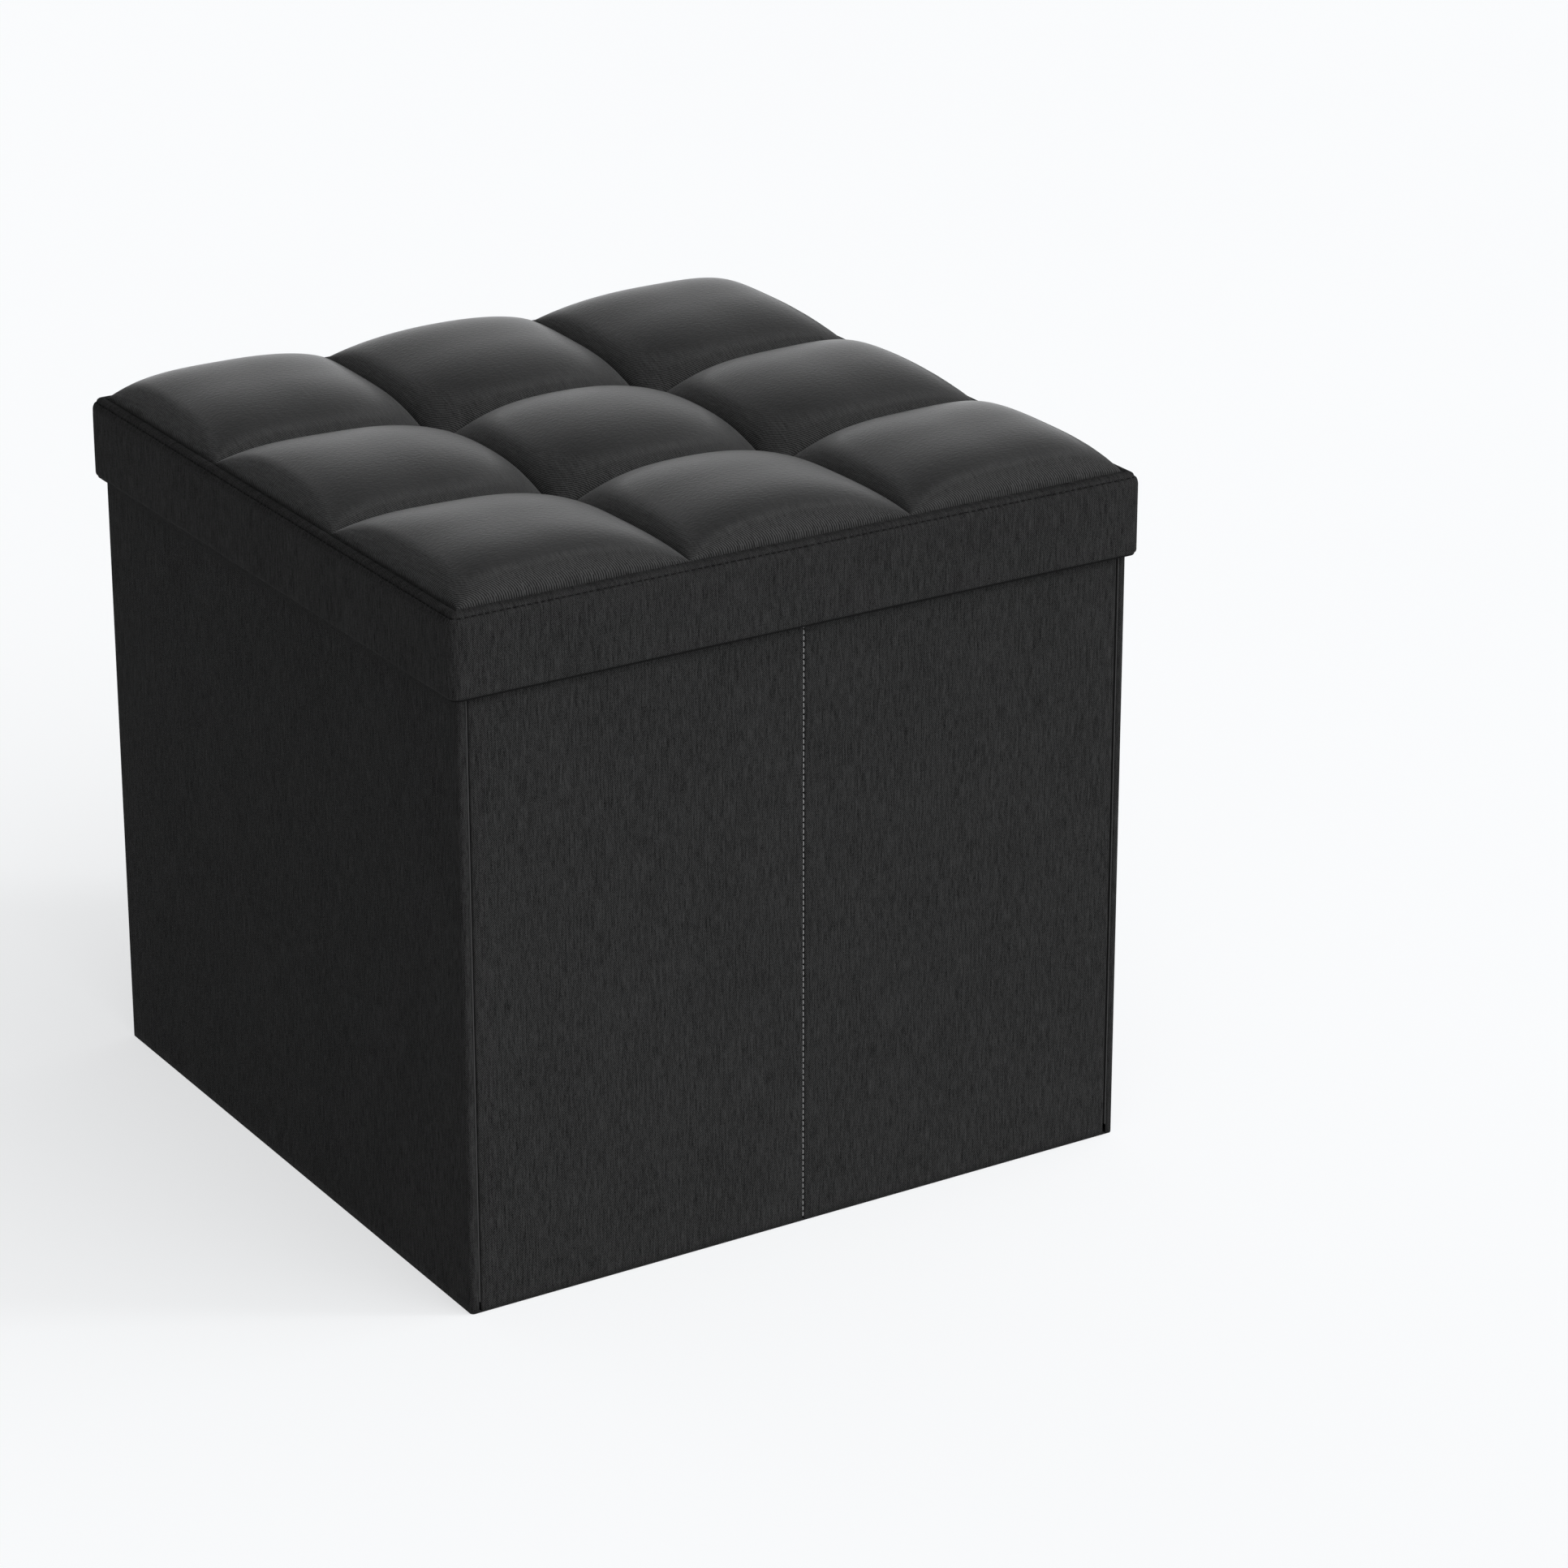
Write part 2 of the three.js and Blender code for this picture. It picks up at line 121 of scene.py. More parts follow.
def grid_faces(rows, columns, closed=False, flip=False, start=0):
    """Quads over a grid of points stored row by row, and the grid place of each quad's corners."""
    faces = []
    places = []
    for row in range(rows - 1):
        for column in range(columns if closed else columns - 1):
            ring = [(row, column), (row, column + 1), (row + 1, column + 1), (row + 1, column)]
            if flip:
                ring.reverse()
            faces.append([start + r * columns + c % columns for r, c in ring])
            places.extend(ring)
    return faces, np.array(places)


def grid_piece(name, points, across, up, closed=False, flip=False, lids=()):
    """A sheet from a grid of points, with its cloth laid by the distances across and up. Lids close rings."""
    rows, columns = points.shape[:2]
    faces, places = grid_faces(rows, columns, closed, flip)
    for row in lids:
        ring = [(row, column) for column in range(columns)]
        if row == 0:
            ring.reverse()
        faces.append([r * columns + c for r, c in ring])
        places = np.vstack([places, ring])
    uvs = np.column_stack([np.asarray(across)[places[:, 1]], np.asarray(up)[places[:, 0]]])
    return make_piece(name, points.reshape(-1, 3), faces, uvs)


def path_length(points, closed=False):
    """Distance along a line of points, with one more entry for the way back when closed."""
    points = np.asarray(points)
    if closed:
        points = np.vstack([points, points[:1]])
    return np.concatenate([[0], np.cumsum(np.linalg.norm(np.diff(points, axis=0), axis=1))])


def thicken(piece, thickness):
    """Gives a sheet its thickness, on the side away from its face."""
    solid = piece.modifiers.new("thickness", "SOLIDIFY")
    solid.thickness = thickness
    solid.offset = -1
    solid.use_even_offset = False


RIPPLE_WAVES = 6
RIPPLE_PHASES = 6.3
RIPPLE_SHARES = (0.6, 1.6)


def ripple(x, y, seed, length, height):
    """A slow uneven wave, for cloth that doesn't lie quite flat."""
    rng = np.random.default_rng(seed)
    headings = rng.uniform(0, math.pi, RIPPLE_WAVES)
    phases = rng.uniform(0, RIPPLE_PHASES, RIPPLE_WAVES)
    shares = rng.uniform(*RIPPLE_SHARES, RIPPLE_WAVES)
    total = np.zeros(np.broadcast(x, y).shape)
    for heading, phase, share in zip(headings, phases, shares):
        turn = 2 * math.pi * share / length
        total += np.sin(turn * (x * np.cos(heading) + y * np.sin(heading)) + phase)
    return total * height / RIPPLE_WAVES


def dress(piece, material, slot, body, *nodes):
    """Finish of a piece, its material slot (not used), the body that it rides on and the CAD nodes that it
    replaces.
    """
    piece.data.materials.append(material)
    if nodes:
        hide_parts(*nodes)
    if body:
        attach(piece, body)
    return piece


# Material helpers


class Graph:
    """Short names for building a material's nodes."""

    def __init__(self, name):
        self.material = bpy.data.materials.new(name)
        self.material.use_nodes = True
        self.tree = self.material.node_tree
        self.shader = self.tree.nodes["Principled BSDF"]

    def node(self, kind, inputs=(), **settings):
        made = self.tree.nodes.new(kind)
        for key, value in settings.items():
            setattr(made, key, value)
        for key, value in dict(inputs).items():
            self.feed(made.inputs[key], value)
        return made

    def feed(self, socket, value):
        if isinstance(value, bpy.types.NodeSocket):
            self.tree.links.new(value, socket)
        else:
            socket.default_value = value

    def math(self, operation, first, second=0.0):
        return self.node("ShaderNodeMath", {0: first, 1: second}, operation=operation).outputs[0]

    def total(self, *values):
        result = values[0]
        for value in values[1:]:
            result = self.math("ADD", result, value)
        return result

    def times(self, *values):
        result = values[0]
        for value in values[1:]:
            result = self.math("MULTIPLY", result, value)
        return result

    def place(self, output):
        return self.node("ShaderNodeTexCoord").outputs[output]

    def axes(self, vector):
        return self.node("ShaderNodeSeparateXYZ", {0: vector}).outputs

    def scaled(self, vector, size):
        """Coordinates in which one unit is the given size."""
        factor = tuple(1 / s for s in size)
        return self.node("ShaderNodeVectorMath", {0: vector, 1: factor}, operation="MULTIPLY").outputs[0]

    def noise(self, vector, size, detail=2.0, roughness=0.5):
        inputs = {"Vector": self.scaled(vector, size), "Scale": 1.0, "Detail": detail, "Roughness": roughness}
        return self.node("ShaderNodeTexNoise", inputs).outputs[0]

    def wave(self, distance, length):
        """A sine of the given length, from -1 to 1."""
        return self.math("SINE", self.times(distance, 2 * math.pi / length))

    def ramp(self, value, low, high, to_low=0.0, to_high=1.0):
        inputs = {0: value, 1: low, 2: high, 3: to_low, 4: to_high}
        return self.node("ShaderNodeMapRange", inputs).outputs[0]

    def blend(self, share, first, second):
        inputs = {0: share, 6: (*first, 1.0), 7: (*second, 1.0)}
        return self.node("ShaderNodeMix", inputs, data_type="RGBA").outputs[2]

    def finish(self, colour, roughness, height=None, depth=0.0, strength=1.0, **plain):
        """Joins colour, roughness and relief to the shader. The plain values are set on its own sockets."""
        self.feed(self.shader.inputs["Base Color"], colour)
        self.feed(self.shader.inputs["Roughness"], roughness)
        if height is not None:
            inputs = {"Height": height, "Distance": depth, "Strength": strength}
            self.feed(self.shader.inputs["Normal"], self.node("ShaderNodeBump", inputs).outputs[0])
        for key, value in plain.items():
            self.shader.inputs[key.replace("_", " ")].default_value = value
        return self.material


# Materials


PRESSED_SLOPES = (0.84, 0.94)
PRESSED_SHARE = 0.14
WALL_ROUGHNESS = 0.85
YARN_LENGTH = 0.7 * MM
SLUB_SIZE = (0.7 * MM, 6.0 * MM, 1.0)
LONG_SLUB_SIZE = (0.9 * MM, 18.0 * MM, 1.0)
PATCH_SIZE = (30.0 * MM, 60.0 * MM, 1.0)
SPECK_SIZE = (0.5 * MM, 0.8 * MM, 1.0)
SUEDE_SIZE = (2.6 * MM, 1.6 * MM, 1.0)
COVER_DARK = 0.002
COVER_LIGHT = 0.037
WALL_GLOSS = {"Specular_IOR_Level": 0.03}
SEAT_GLOSS = {"Specular_IOR_Level": 0.3, "Sheen_Weight": 0.1, "Sheen_Roughness": 0.35}
GRAIN_SHARE = 0.5
LONG_SLUB_SHARE = 0.7
PATCH_SHARE = 0.15
SPECK_SHARE = 0.8
SUEDE_SHARE = 3.0
FABRIC_RELIEF = 0.08 * MM
FLOOR_GLOW = 0.62
GLOW_COLOUR = (0.985, 0.992, 1.0, 1.0)


def grey(value):
    return (value, value, value)


def cover_fabric(name, twill_length, weave, weave_depth, roughness, gloss, pressed=False):
    """Charcoal linen-look upholstery: fine twill and upright slubs. Weave says how much the yarns differ.

    Pressed cloth is stretched smooth where it lies flat, and shows its twill only where it slopes down.
    """
    g = Graph(name)
    cloth = g.place("UV")
    u, v, _ = g.axes(cloth)
    twill = g.wave(g.total(u, v), twill_length)
    yarn = g.wave(g.math("SUBTRACT", g.times(u, 0.5), v), YARN_LENGTH)
    grain = g.times(twill, g.ramp(yarn, -1.0, 1.0, 0.45, 1.0))
    shown = 1.0
    if pressed:
        shown = g.ramp(g.axes(g.place("Normal"))[2], *PRESSED_SLOPES, 1.0, PRESSED_SHARE)
        roughness = g.ramp(shown, PRESSED_SHARE, 1.0, roughness, WALL_ROUGHNESS)
    slubs = g.noise(cloth, SLUB_SIZE, detail=3.0, roughness=0.6)
    long_slubs = g.noise(cloth, LONG_SLUB_SIZE, detail=2.0)
    patches = g.noise(cloth, PATCH_SIZE, detail=2.0)
    specks = g.noise(cloth, SPECK_SIZE, detail=1.0)
    unevenness = g.total(
        g.times(grain, GRAIN_SHARE),
        g.math("SUBTRACT", slubs, 0.5),
        g.times(g.math("SUBTRACT", long_slubs, 0.5), LONG_SLUB_SHARE),
        g.times(g.math("SUBTRACT", patches, 0.5), PATCH_SHARE),
        g.times(g.math("SUBTRACT", specks, 0.5), SPECK_SHARE),
    )
    share = g.ramp(g.total(g.times(unevenness, weave, shown), 0.5), 0.0, 1.0)
    colour = g.blend(share, grey(COVER_DARK), grey(COVER_LIGHT))
    height = g.times(g.total(g.times(grain, 0.8), g.times(slubs, 0.6), g.times(specks, 0.4)), shown)
    if pressed:
        suede = g.noise(cloth, SUEDE_SIZE, detail=3.0, roughness=0.6)
        height = g.total(height, g.times(suede, SUEDE_SHARE))
    return g.finish(colour, roughness, height, FABRIC_RELIEF, weave_depth, **gloss)


def lining_fabric():
    """Black non-woven lining with a pressed dot pattern."""
    g = Graph("lining_fabric")
    place = g.place("Object")
    inputs = {"Vector": g.scaled(place, (2.4 * MM,) * 3), "Scale": 1.0, "Randomness": 0.25}
    dots = g.ramp(g.node("ShaderNodeTexVoronoi", inputs).outputs["Distance"], 0.18, 0.42)
    fibres = g.noise(place, (0.5 * MM,) * 3, detail=4.0, roughness=0.7)
    share = g.total(g.times(dots, 0.6), g.times(fibres, 0.5))
    colour = g.blend(share, grey(0.009), grey(0.032))
    height = g.total(dots, g.times(fibres, 0.4))
    return g.finish(colour, g.ramp(dots, 0.0, 1.0, 0.6, 0.85), height, 0.12 * MM, 0.6, Specular_IOR_Level=0.3)


def board(name, dark, light, layer):
    """Pressed board: fine mixed fibres, with the faint layers that its edges show."""
    g = Graph(name)
    place = g.place("Object")
    fibres = g.noise(place, (0.8 * MM, 0.8 * MM, 0.5 * MM), detail=5.0, roughness=0.7)
    patches = g.noise(place, (35 * MM,) * 3, detail=3.0)
    layers = g.wave(g.axes(place)[2], layer)
    share = g.total(g.times(fibres, 0.7), g.times(patches, 0.3), g.times(layers, 0.06))
    colour = g.blend(share, dark, light)
    return g.finish(colour, g.ramp(fibres, 0.0, 1.0, 0.7, 0.9), fibres, 0.1 * MM, 0.5)


def foam_pad():
    """Cream polyurethane foam with open cells."""
    g = Graph("foam")
    place = g.place("Object")
    inputs = {"Vector": g.scaled(place, (0.9 * MM,) * 3), "Scale": 1.0}
    cells = g.node("ShaderNodeTexVoronoi", inputs).outputs["Distance"]
    patches = g.noise(place, (25 * MM,) * 3)
    share = g.total(g.times(cells, 0.7), g.times(patches, 0.3))
    colour = g.blend(share, (0.55, 0.48, 0.32), (0.82, 0.76, 0.58))
    return g.finish(colour, 0.9, cells, 0.25 * MM, 0.7)


def ribbon():
    """Black grosgrain: ribs across the band and a finer weave along it."""
    g = Graph("ribbon")
    place = g.place("Object")
    x, y, _ = g.axes(place)
    ribs = g.wave(x, 1.3 * MM)
    yarns = g.wave(y, 0.6 * MM)
    worn = g.noise(place, (6 * MM,) * 3)
    share = g.total(0.4, g.times(ribs, 0.25), g.times(yarns, 0.1), g.times(worn, 0.2))
    colour = g.blend(share, grey(0.012), grey(0.035))
    height = g.total(ribs, g.times(yarns, 0.3))
    return g.finish(colour, g.ramp(ribs, -1.0, 1.0, 0.6, 0.45), height, 0.12 * MM, 0.7, Sheen_Weight=0.1)


def thread(name, dark, light):
    """Twisted sewing thread."""
    g = Graph(name)
    cloth = g.place("UV")
    u, v, _ = g.axes(cloth)
    twist = g.wave(g.total(u, g.times(v, 0.6)), 0.7 * MM)
    fuzz = g.noise(cloth, (0.4 * MM, 0.4 * MM, 1.0), detail=2.0)
    share = g.total(0.25, g.times(twist, 0.25), g.times(fuzz, 0.5))
    colour = g.blend(share, grey(dark), grey(light))
    return g.finish(colour, 0.8, twist, 0.06 * MM, 0.6, Specular_IOR_Level=0.1)


def tie_cord():
    """Thread of the tuft ties, in the object's own coordinates."""
    g = Graph("tie_thread")
    place = g.place("Object")
    x, y, z = g.axes(place)
    twist = g.wave(g.total(x, y, z), 1.2 * MM)
    fuzz = g.noise(place, (0.5 * MM,) * 3)
    colour = g.blend(g.total(0.3, g.times(twist, 0.2), g.times(fuzz, 0.4)), grey(0.01), grey(0.05))
    return g.finish(colour, 0.6, twist, 0.1 * MM, 0.6)


def staple_steel():
    """Zinc-plated staple wire with fine drawn lines."""
    g = Graph("staple_steel")
    cloth = g.place("UV")
    lines = g.noise(cloth, (6 * MM, 0.15 * MM, 1.0), detail=2.0)
    dulled = g.noise(cloth, (3 * MM, 3 * MM, 1.0))
    colour = g.blend(dulled, grey(0.42), grey(0.62))
    return g.finish(colour, g.ramp(dulled, 0.2, 0.8, 0.3, 0.5), lines, 0.03 * MM, 0.4, Metallic=1.0)


def studio_floor():
    """Plain pale floor with a barely seen mottle."""
    g = Graph("studio_floor")
    mottle = g.noise(g.place("Object"), (0.5, 0.5, 0.5), detail=2.0)
    colour = g.blend(mottle, (0.375, 0.38, 0.385), (0.385, 0.39, 0.395))
    glow = {"Emission_Color": GLOW_COLOUR, "Emission_Strength": FLOOR_GLOW}
    return g.finish(colour, 0.95, Specular_IOR_Level=0.0, **glow)


COVER = cover_fabric("cover_fabric", 0.95 * MM, 2.0, 0.6, WALL_ROUGHNESS, WALL_GLOSS)
SEAT_COVER = cover_fabric("seat_fabric", 1.3 * MM, 3.0, 0.9, 0.29, SEAT_GLOSS, pressed=True)
LINING = lining_fabric()
WALL_BOARD = board("wall_board", (0.11, 0.065, 0.032), (0.3, 0.19, 0.1), 0.5 * MM)
LID_BOARD = board("lid_board", (0.3, 0.2, 0.11), (0.56, 0.42, 0.26), 1.4 * MM)
FOAM = foam_pad()
RIBBON = ribbon()
LIGHT_THREAD = thread("crease_thread", 0.11, 0.3)
# Dark thread for the stitches; the same material also paints the shadow under the skirt's hem
DARK_THREAD_AND_SHADE = thread("dark_thread_and_shade", 0.001, 0.004)
TIE_CORD = tie_cord()
STEEL = staple_steel()

CARRIED_OVER = {
    "_board": WALL_BOARD,
    "_rail": WALL_BOARD,
    "_lining": LINING,
    "lid_board": LID_BOARD,
}


def finish_carried_over():
    """Procedural finishes for the CAD nodes whose shape is kept."""
    for name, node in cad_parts.items():
        found = TIE_CORD if name.startswith("tuft_tie") else None
        for ending, material in CARRIED_OVER.items():
            if name.endswith(ending):
                found = material
        if found:
            for place in range(len(node.data.materials)):
                node.data.materials[place] = found


# Stitches


STITCH_RINGS = 7
STITCH_SIDES = 8
STITCH_STEP = 0.2 * MM
STITCH_DIP = 1.6
STITCH_FULL_LENGTH = 0.97


def thread_run(name, path, outward, stitch, lift, closed=False):
    """Separate stitches along a path, as capsules that dip at both ends. Outward is the cloth's normal."""
    path = np.asarray(path)
    outward = np.asarray(outward)
    if closed:
        path = np.vstack([path, path[:1]])
        outward = np.vstack([outward, outward[:1]])
    walked = path_length(path)
    count = int(walked[-1] / stitch["pitch"])
    pitch = walked[-1] / count
    middles = (np.arange(count) + 0.5) * pitch
    rings = np.linspace(-1, 1, STITCH_RINGS)
    at = middles[:, None] + rings[None, :] * stitch["length"] / 2

    def sample(values, where):
        return np.stack([np.interp(where, walked, values[:, k]) for k in range(3)], -1)

    centre = sample(path, at)
    along = sample(path, at + STITCH_STEP) - sample(path, at - STITCH_STEP)
    along /= np.linalg.norm(along, axis=-1, keepdims=True)
    normal = sample(outward, at)
    normal /= np.linalg.norm(normal, axis=-1, keepdims=True)
    side = np.cross(along, normal)
    round_end = np.sqrt(np.clip(1 - (rings * STITCH_FULL_LENGTH) ** 6, 0, 1))
    dip = lift * (1 - STITCH_DIP * np.abs(rings) ** 4)
    angles = np.arange(STITCH_SIDES) / STITCH_SIDES * 2 * math.pi
    thick = stitch["radius"] * round_end
    points = (
        centre[:, :, None, :]
        + dip[None, :, None, None] * normal[:, :, None, :]
        + thick[None, :, None, None] * np.cos(angles)[None, None, :, None] * side[:, :, None, :]
        + thick[None, :, None, None] * np.sin(angles)[None, None, :, None] * normal[:, :, None, :]
    )
    faces = []
    places = []
    for one in range(count):
        start = one * STITCH_RINGS * STITCH_SIDES
        quads, corners = grid_faces(STITCH_RINGS, STITCH_SIDES, closed=True, flip=True, start=start)
        faces.extend(quads)
        places.append(corners)
    places = np.vstack(places)
    u = places[:, 0] * stitch["length"] / STITCH_RINGS
    v = places[:, 1] * stitch["radius"]
    return make_piece(name, points.reshape(-1, 3), faces, np.column_stack([u, v]))


# Walls


WALLS = [
    ("left_wall", "left_wall", 0, -1),
    ("right_wall", "right_wall", 0, 1),
    ("front_left_panel", "front_left", 1, -1),
    ("front_right_panel", "front_right", 1, -1),
    ("back_left_panel", "back_left", 1, 1),
    ("back_right_panel", "back_right", 1, 1),
]
WALL_CELL = 4 * MM
CORNER_STEPS = 6
WALL_FULLNESS = 0.22 * MM
WALL_RIPPLE = 0.22 * MM
WALL_RIPPLE_LENGTH = 0.16
CLOTH_OFFSET = 0.5
FLOOR_SHEET = 0.7 * MM
FOOT_GAP = FLOOR_SHEET + 0.05 * MM


def wrap_outline(start, end, depth, radius, inset, columns):
    """Places along and into a wall of cloth that wraps both ends, moved in by an inset."""
    rounding = max(radius - inset, SMALLEST_RADIUS)
    turn = np.linspace(0, QUARTER_TURN, CORNER_STEPS)
    bend_along = inset + rounding * (1 - np.cos(turn))
    bend_into = inset + rounding * (1 - np.sin(turn))
    face = np.linspace(start + bend_along[-1], end - bend_along[-1], columns)[1:-1]
    along = [[start + inset], start + bend_along, face, end - bend_along[::-1], [end - inset]]
    into = [[depth], bend_into, np.full(len(face), inset), bend_into[::-1], [depth]]
    return np.concatenate(along), np.concatenate(into)


def wall_cover(name, body, axis, outward, seed):
    """A fabric sleeve over one wall board, rounded at its ends and top and a little full in the middle."""
    low, high = box(name + "_cover")
    span = 1 - axis
    outer = high[axis] if outward > 0 else low[axis]
    depth = high[axis] - low[axis]
    radius = BOX_CORNER_RADIUS if axis == 0 else PANEL_EDGE_RADIUS
    top = high[2]
    rim = PANEL_EDGE_RADIUS
    turn = np.linspace(0, QUARTER_TURN, CORNER_STEPS)
    rows = int((top - FOOT_GAP) / WALL_CELL)
    face = np.linspace(FOOT_GAP, top - rim, rows)[:-1]
    heights = np.concatenate([face, top - rim + rim * np.sin(turn), [top]])
    insets = np.concatenate([np.zeros(rows - 1), rim * (1 - np.cos(turn)), [depth]])
    columns = int((high[span] - low[span]) / WALL_CELL)
    points = []
    for height, inset in zip(heights, insets):
        along, into = wrap_outline(low[span], high[span], depth, radius, inset, columns)
        across = np.clip((2 * along - low[span] - high[span]) / (high[span] - low[span]), -1, 1)
        up = np.clip((2 * height - FOOT_GAP - top) / (top - FOOT_GAP), -1, 1)
        held = (1 - np.abs(across) ** 10) * (1 - abs(up) ** 10)
        loose = WALL_FULLNESS + ripple(along, height, seed, WALL_RIPPLE_LENGTH, WALL_RIPPLE)
        on_face = into <= inset + 0.01 * MM
        into = into - np.where(on_face, held * loose, 0)
        row = np.zeros((len(along), 3))
        row[:, axis] = outer - outward * into
        row[:, span] = along
        row[:, 2] = height
        points.append(row)
    points = np.array(points)
    across = path_length(points[0]) + seed * CLOTH_OFFSET
    up = path_length(points[:, len(points[0]) // 2])
    flip = (axis == 0) == (outward < 0)
    piece = grid_piece(name + ".cover", points, across, up, flip=flip)
    thicken(piece, FABRIC)
    return dress(piece, COVER, "cover_fabric", body, name + "_cover")


# Sheets round a square: the floor, the base cover and the lid's skirt


SIDE_STEPS = 72
FLOOR_EDGE_INSET = 6 * MM
BASE_RINGS = np.array([3, 6, 8, 12, 25, 45, 70, 95, 120, 145, 165, 178]) * MM
BASE_SAG = 0.2 * MM
BASE_SAG_LENGTH = 0.12
BASE_STITCH_INSET = 6 * MM
TAB_ROWS = 60
TAB_COLUMNS = 15
TAB_TIP = 0.3 * MM
TAB_SPACING = 0.8
TAB_STITCH_INSET = 3 * MM
TAB_STITCH_REACH = 14 * MM


def square_outline(half, radius, inset):
    """Points anticlockwise round a rounded square, moved in by an inset."""
    rounding = max(radius - inset, SMALLEST_RADIUS)
    centre = half - inset - rounding
    signs = [(-1, -1), (1, -1), (1, 1), (-1, 1)]
    points = []
    for corner, (sign_x, sign_y) in enumerate(signs):
        start = math.pi + corner * QUARTER_TURN
        for angle in np.linspace(start, start + QUARTER_TURN, CORNER_STEPS + 2):
            points.append((sign_x * centre + rounding * math.cos(angle),
                           sign_y * centre + rounding * math.sin(angle)))
        here = np.array(points[-1])
        next_x, next_y = signs[(corner + 1) % 4]
        last = start + QUARTER_TURN
        there = np.array((next_x * centre + rounding * math.cos(last),
                          next_y * centre + rounding * math.sin(last)))
        points.extend(here + (there - here) * share for share in np.linspace(0, 1, SIDE_STEPS)[1:-1])
    return np.array(points)


def square_loft(half, radius, section):
    """Points of a sheet round a rounded square, with its lengths across and up.

    The section is a list of inset and height, and faces outward as it climbs.
    """
    rings = []
    for inset, height in section:
        outline = square_outline(half, radius, inset)
        rings.append(np.column_stack([outline, np.full(len(outline), height)]))
    points = np.array(rings)
    across = path_length(square_outline(half, radius, 0), closed=True)
    up = path_length(np.array(section))
    return points, across, up


def arc(inset, height, radius, start, end, steps=8):
    """Points of an arc in a section, by angle in degrees, where 180 points out of the object."""
    angles = np.radians(np.linspace(start, end, steps))
    return [(inset + radius * math.cos(a), height + radius * math.sin(a)) for a in angles]


def floor_tray():
    """Thin fabric floor, whose edge lies under the feet of the walls' covers."""
    edge = FLOOR_SHEET / 2
    insets = [FLOOR_EDGE_INSET, BOX_HALF * 0.33, BOX_HALF * 0.66, BOX_HALF - 1 * MM]
    section = [(inset, 0) for inset in reversed(insets)]
    section += arc(edge, edge, edge, 270, 90, 7)
    section += [(inset, FLOOR_SHEET) for inset in insets]
    points, across, up = square_loft(BOX_HALF, BOX_CORNER_RADIUS, section)
    tray = grid_piece("floor_tray", points, across, up, closed=True, lids=(0, len(section) - 1))
    dress(tray, COVER, "cover_fabric", None, "fabric_floor")
    tray.data.materials.append(LINING)
    for face in tray.data.polygons:
        centre = face.center
        on_edge = max(abs(centre.x), abs(centre.y)) > BOX_HALF - edge and centre.z > 0.05 * MM
        face.material_index = 0 if on_edge else 1
    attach(tray, "left_wall")
    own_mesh(tray)


def base_cover():
    """Lining fabric over the base board, turned under its edges and stitched round."""
    low, high = BASE_BOX
    edge = 0.7 * MM
    flat = high[2]
    section = [(0.9 * MM, low[2]), (0.1 * MM, low[2] + 0.4 * MM), (0, low[2] + 1 * MM)]
    section += arc(edge, flat - edge, edge, 180, 90, 5)
    section += [(inset, flat) for inset in BASE_RINGS]
    points, across, up = square_loft(BASE_HALF, BOX_CORNER_RADIUS, section)
    on_top = points[:, :, 2] > flat - 0.01 * MM
    sag = np.abs(ripple(points[:, :, 0], points[:, :, 1], 21, BASE_SAG_LENGTH, BASE_SAG))
    points[:, :, 2] -= np.where(on_top, sag, 0)
    cover = grid_piece("base_cover", points, across, up, closed=True, lids=(len(section) - 1,))
    thicken(cover, 0.35 * MM)
    dress(cover, LINING, "lining_fabric", "base", "base_board_cover")
    line = square_outline(BASE_HALF, BOX_CORNER_RADIUS, BASE_STITCH_INSET)
    path = np.column_stack([line, np.full(len(line), flat)])
    upward = np.tile((0.0, 0.0, 1.0), (len(path), 1))
    stitches = thread_run("base_stitches", path, upward, BASE_STITCH, 0.0, closed=True)
    dress(stitches, DARK_THREAD_AND_SHADE, "tie_thread", "base")


def lift_tab():
    """Ribbon tab with a rounded end, sewn down at its other end and lying on the base."""
    low, high = TAB_BOX
    length = high[0] - low[0]
    half = (high[1] - low[1]) / 2
    rows = []
    for share in np.linspace(0, 1, TAB_ROWS) ** TAB_SPACING:
        x = share * length
        reach = max(x - (length - half), 0)
        width = max(math.sqrt(max(half**2 - reach**2, 0)), TAB_TIP)
        y = np.linspace(-width, width, TAB_COLUMNS)
        loose = math.sin(share * math.pi) ** 2
        lift = loose * (0.5 * MM + ripple(x + 0 * y, y, 31, 0.03, 0.25 * MM)) * share
        rows.append(np.column_stack([low[0] + x + 0 * y, y, high[2] + lift]))
    points = np.array(rows)
    tab = grid_piece("lift_tab", points, points[0, :, 1], path_length(points[:, TAB_COLUMNS // 2]), flip=True)
    thicken(tab, high[2] - low[2])
    dress(tab, RIBBON, "ribbon", "base", "base_lift_tab")
    near = TAB_STITCH_INSET
    far = TAB_STITCH_REACH
    side = half - TAB_STITCH_INSET
    corners = [(near, -side), (near, side), (far, side), (far, -side)]
    corners += [(near, -side), (far, side), (far, -side), (near, side)]
    path = []
    for (x0, y0), (x1, y1) in zip(corners, corners[1:]):
        for share in np.linspace(0, 1, 8)[:-1]:
            path.append((low[0] + x0 + (x1 - x0) * share, y0 + (y1 - y0) * share, high[2]))
    upward = np.tile((0.0, 0.0, 1.0), (len(path), 1))
    stitches = thread_run("tab_stitches", path, upward, BASE_STITCH, 0.15 * MM)
    dress(stitches, DARK_THREAD_AND_SHADE, "tie_thread", "base")


# Lid skirt


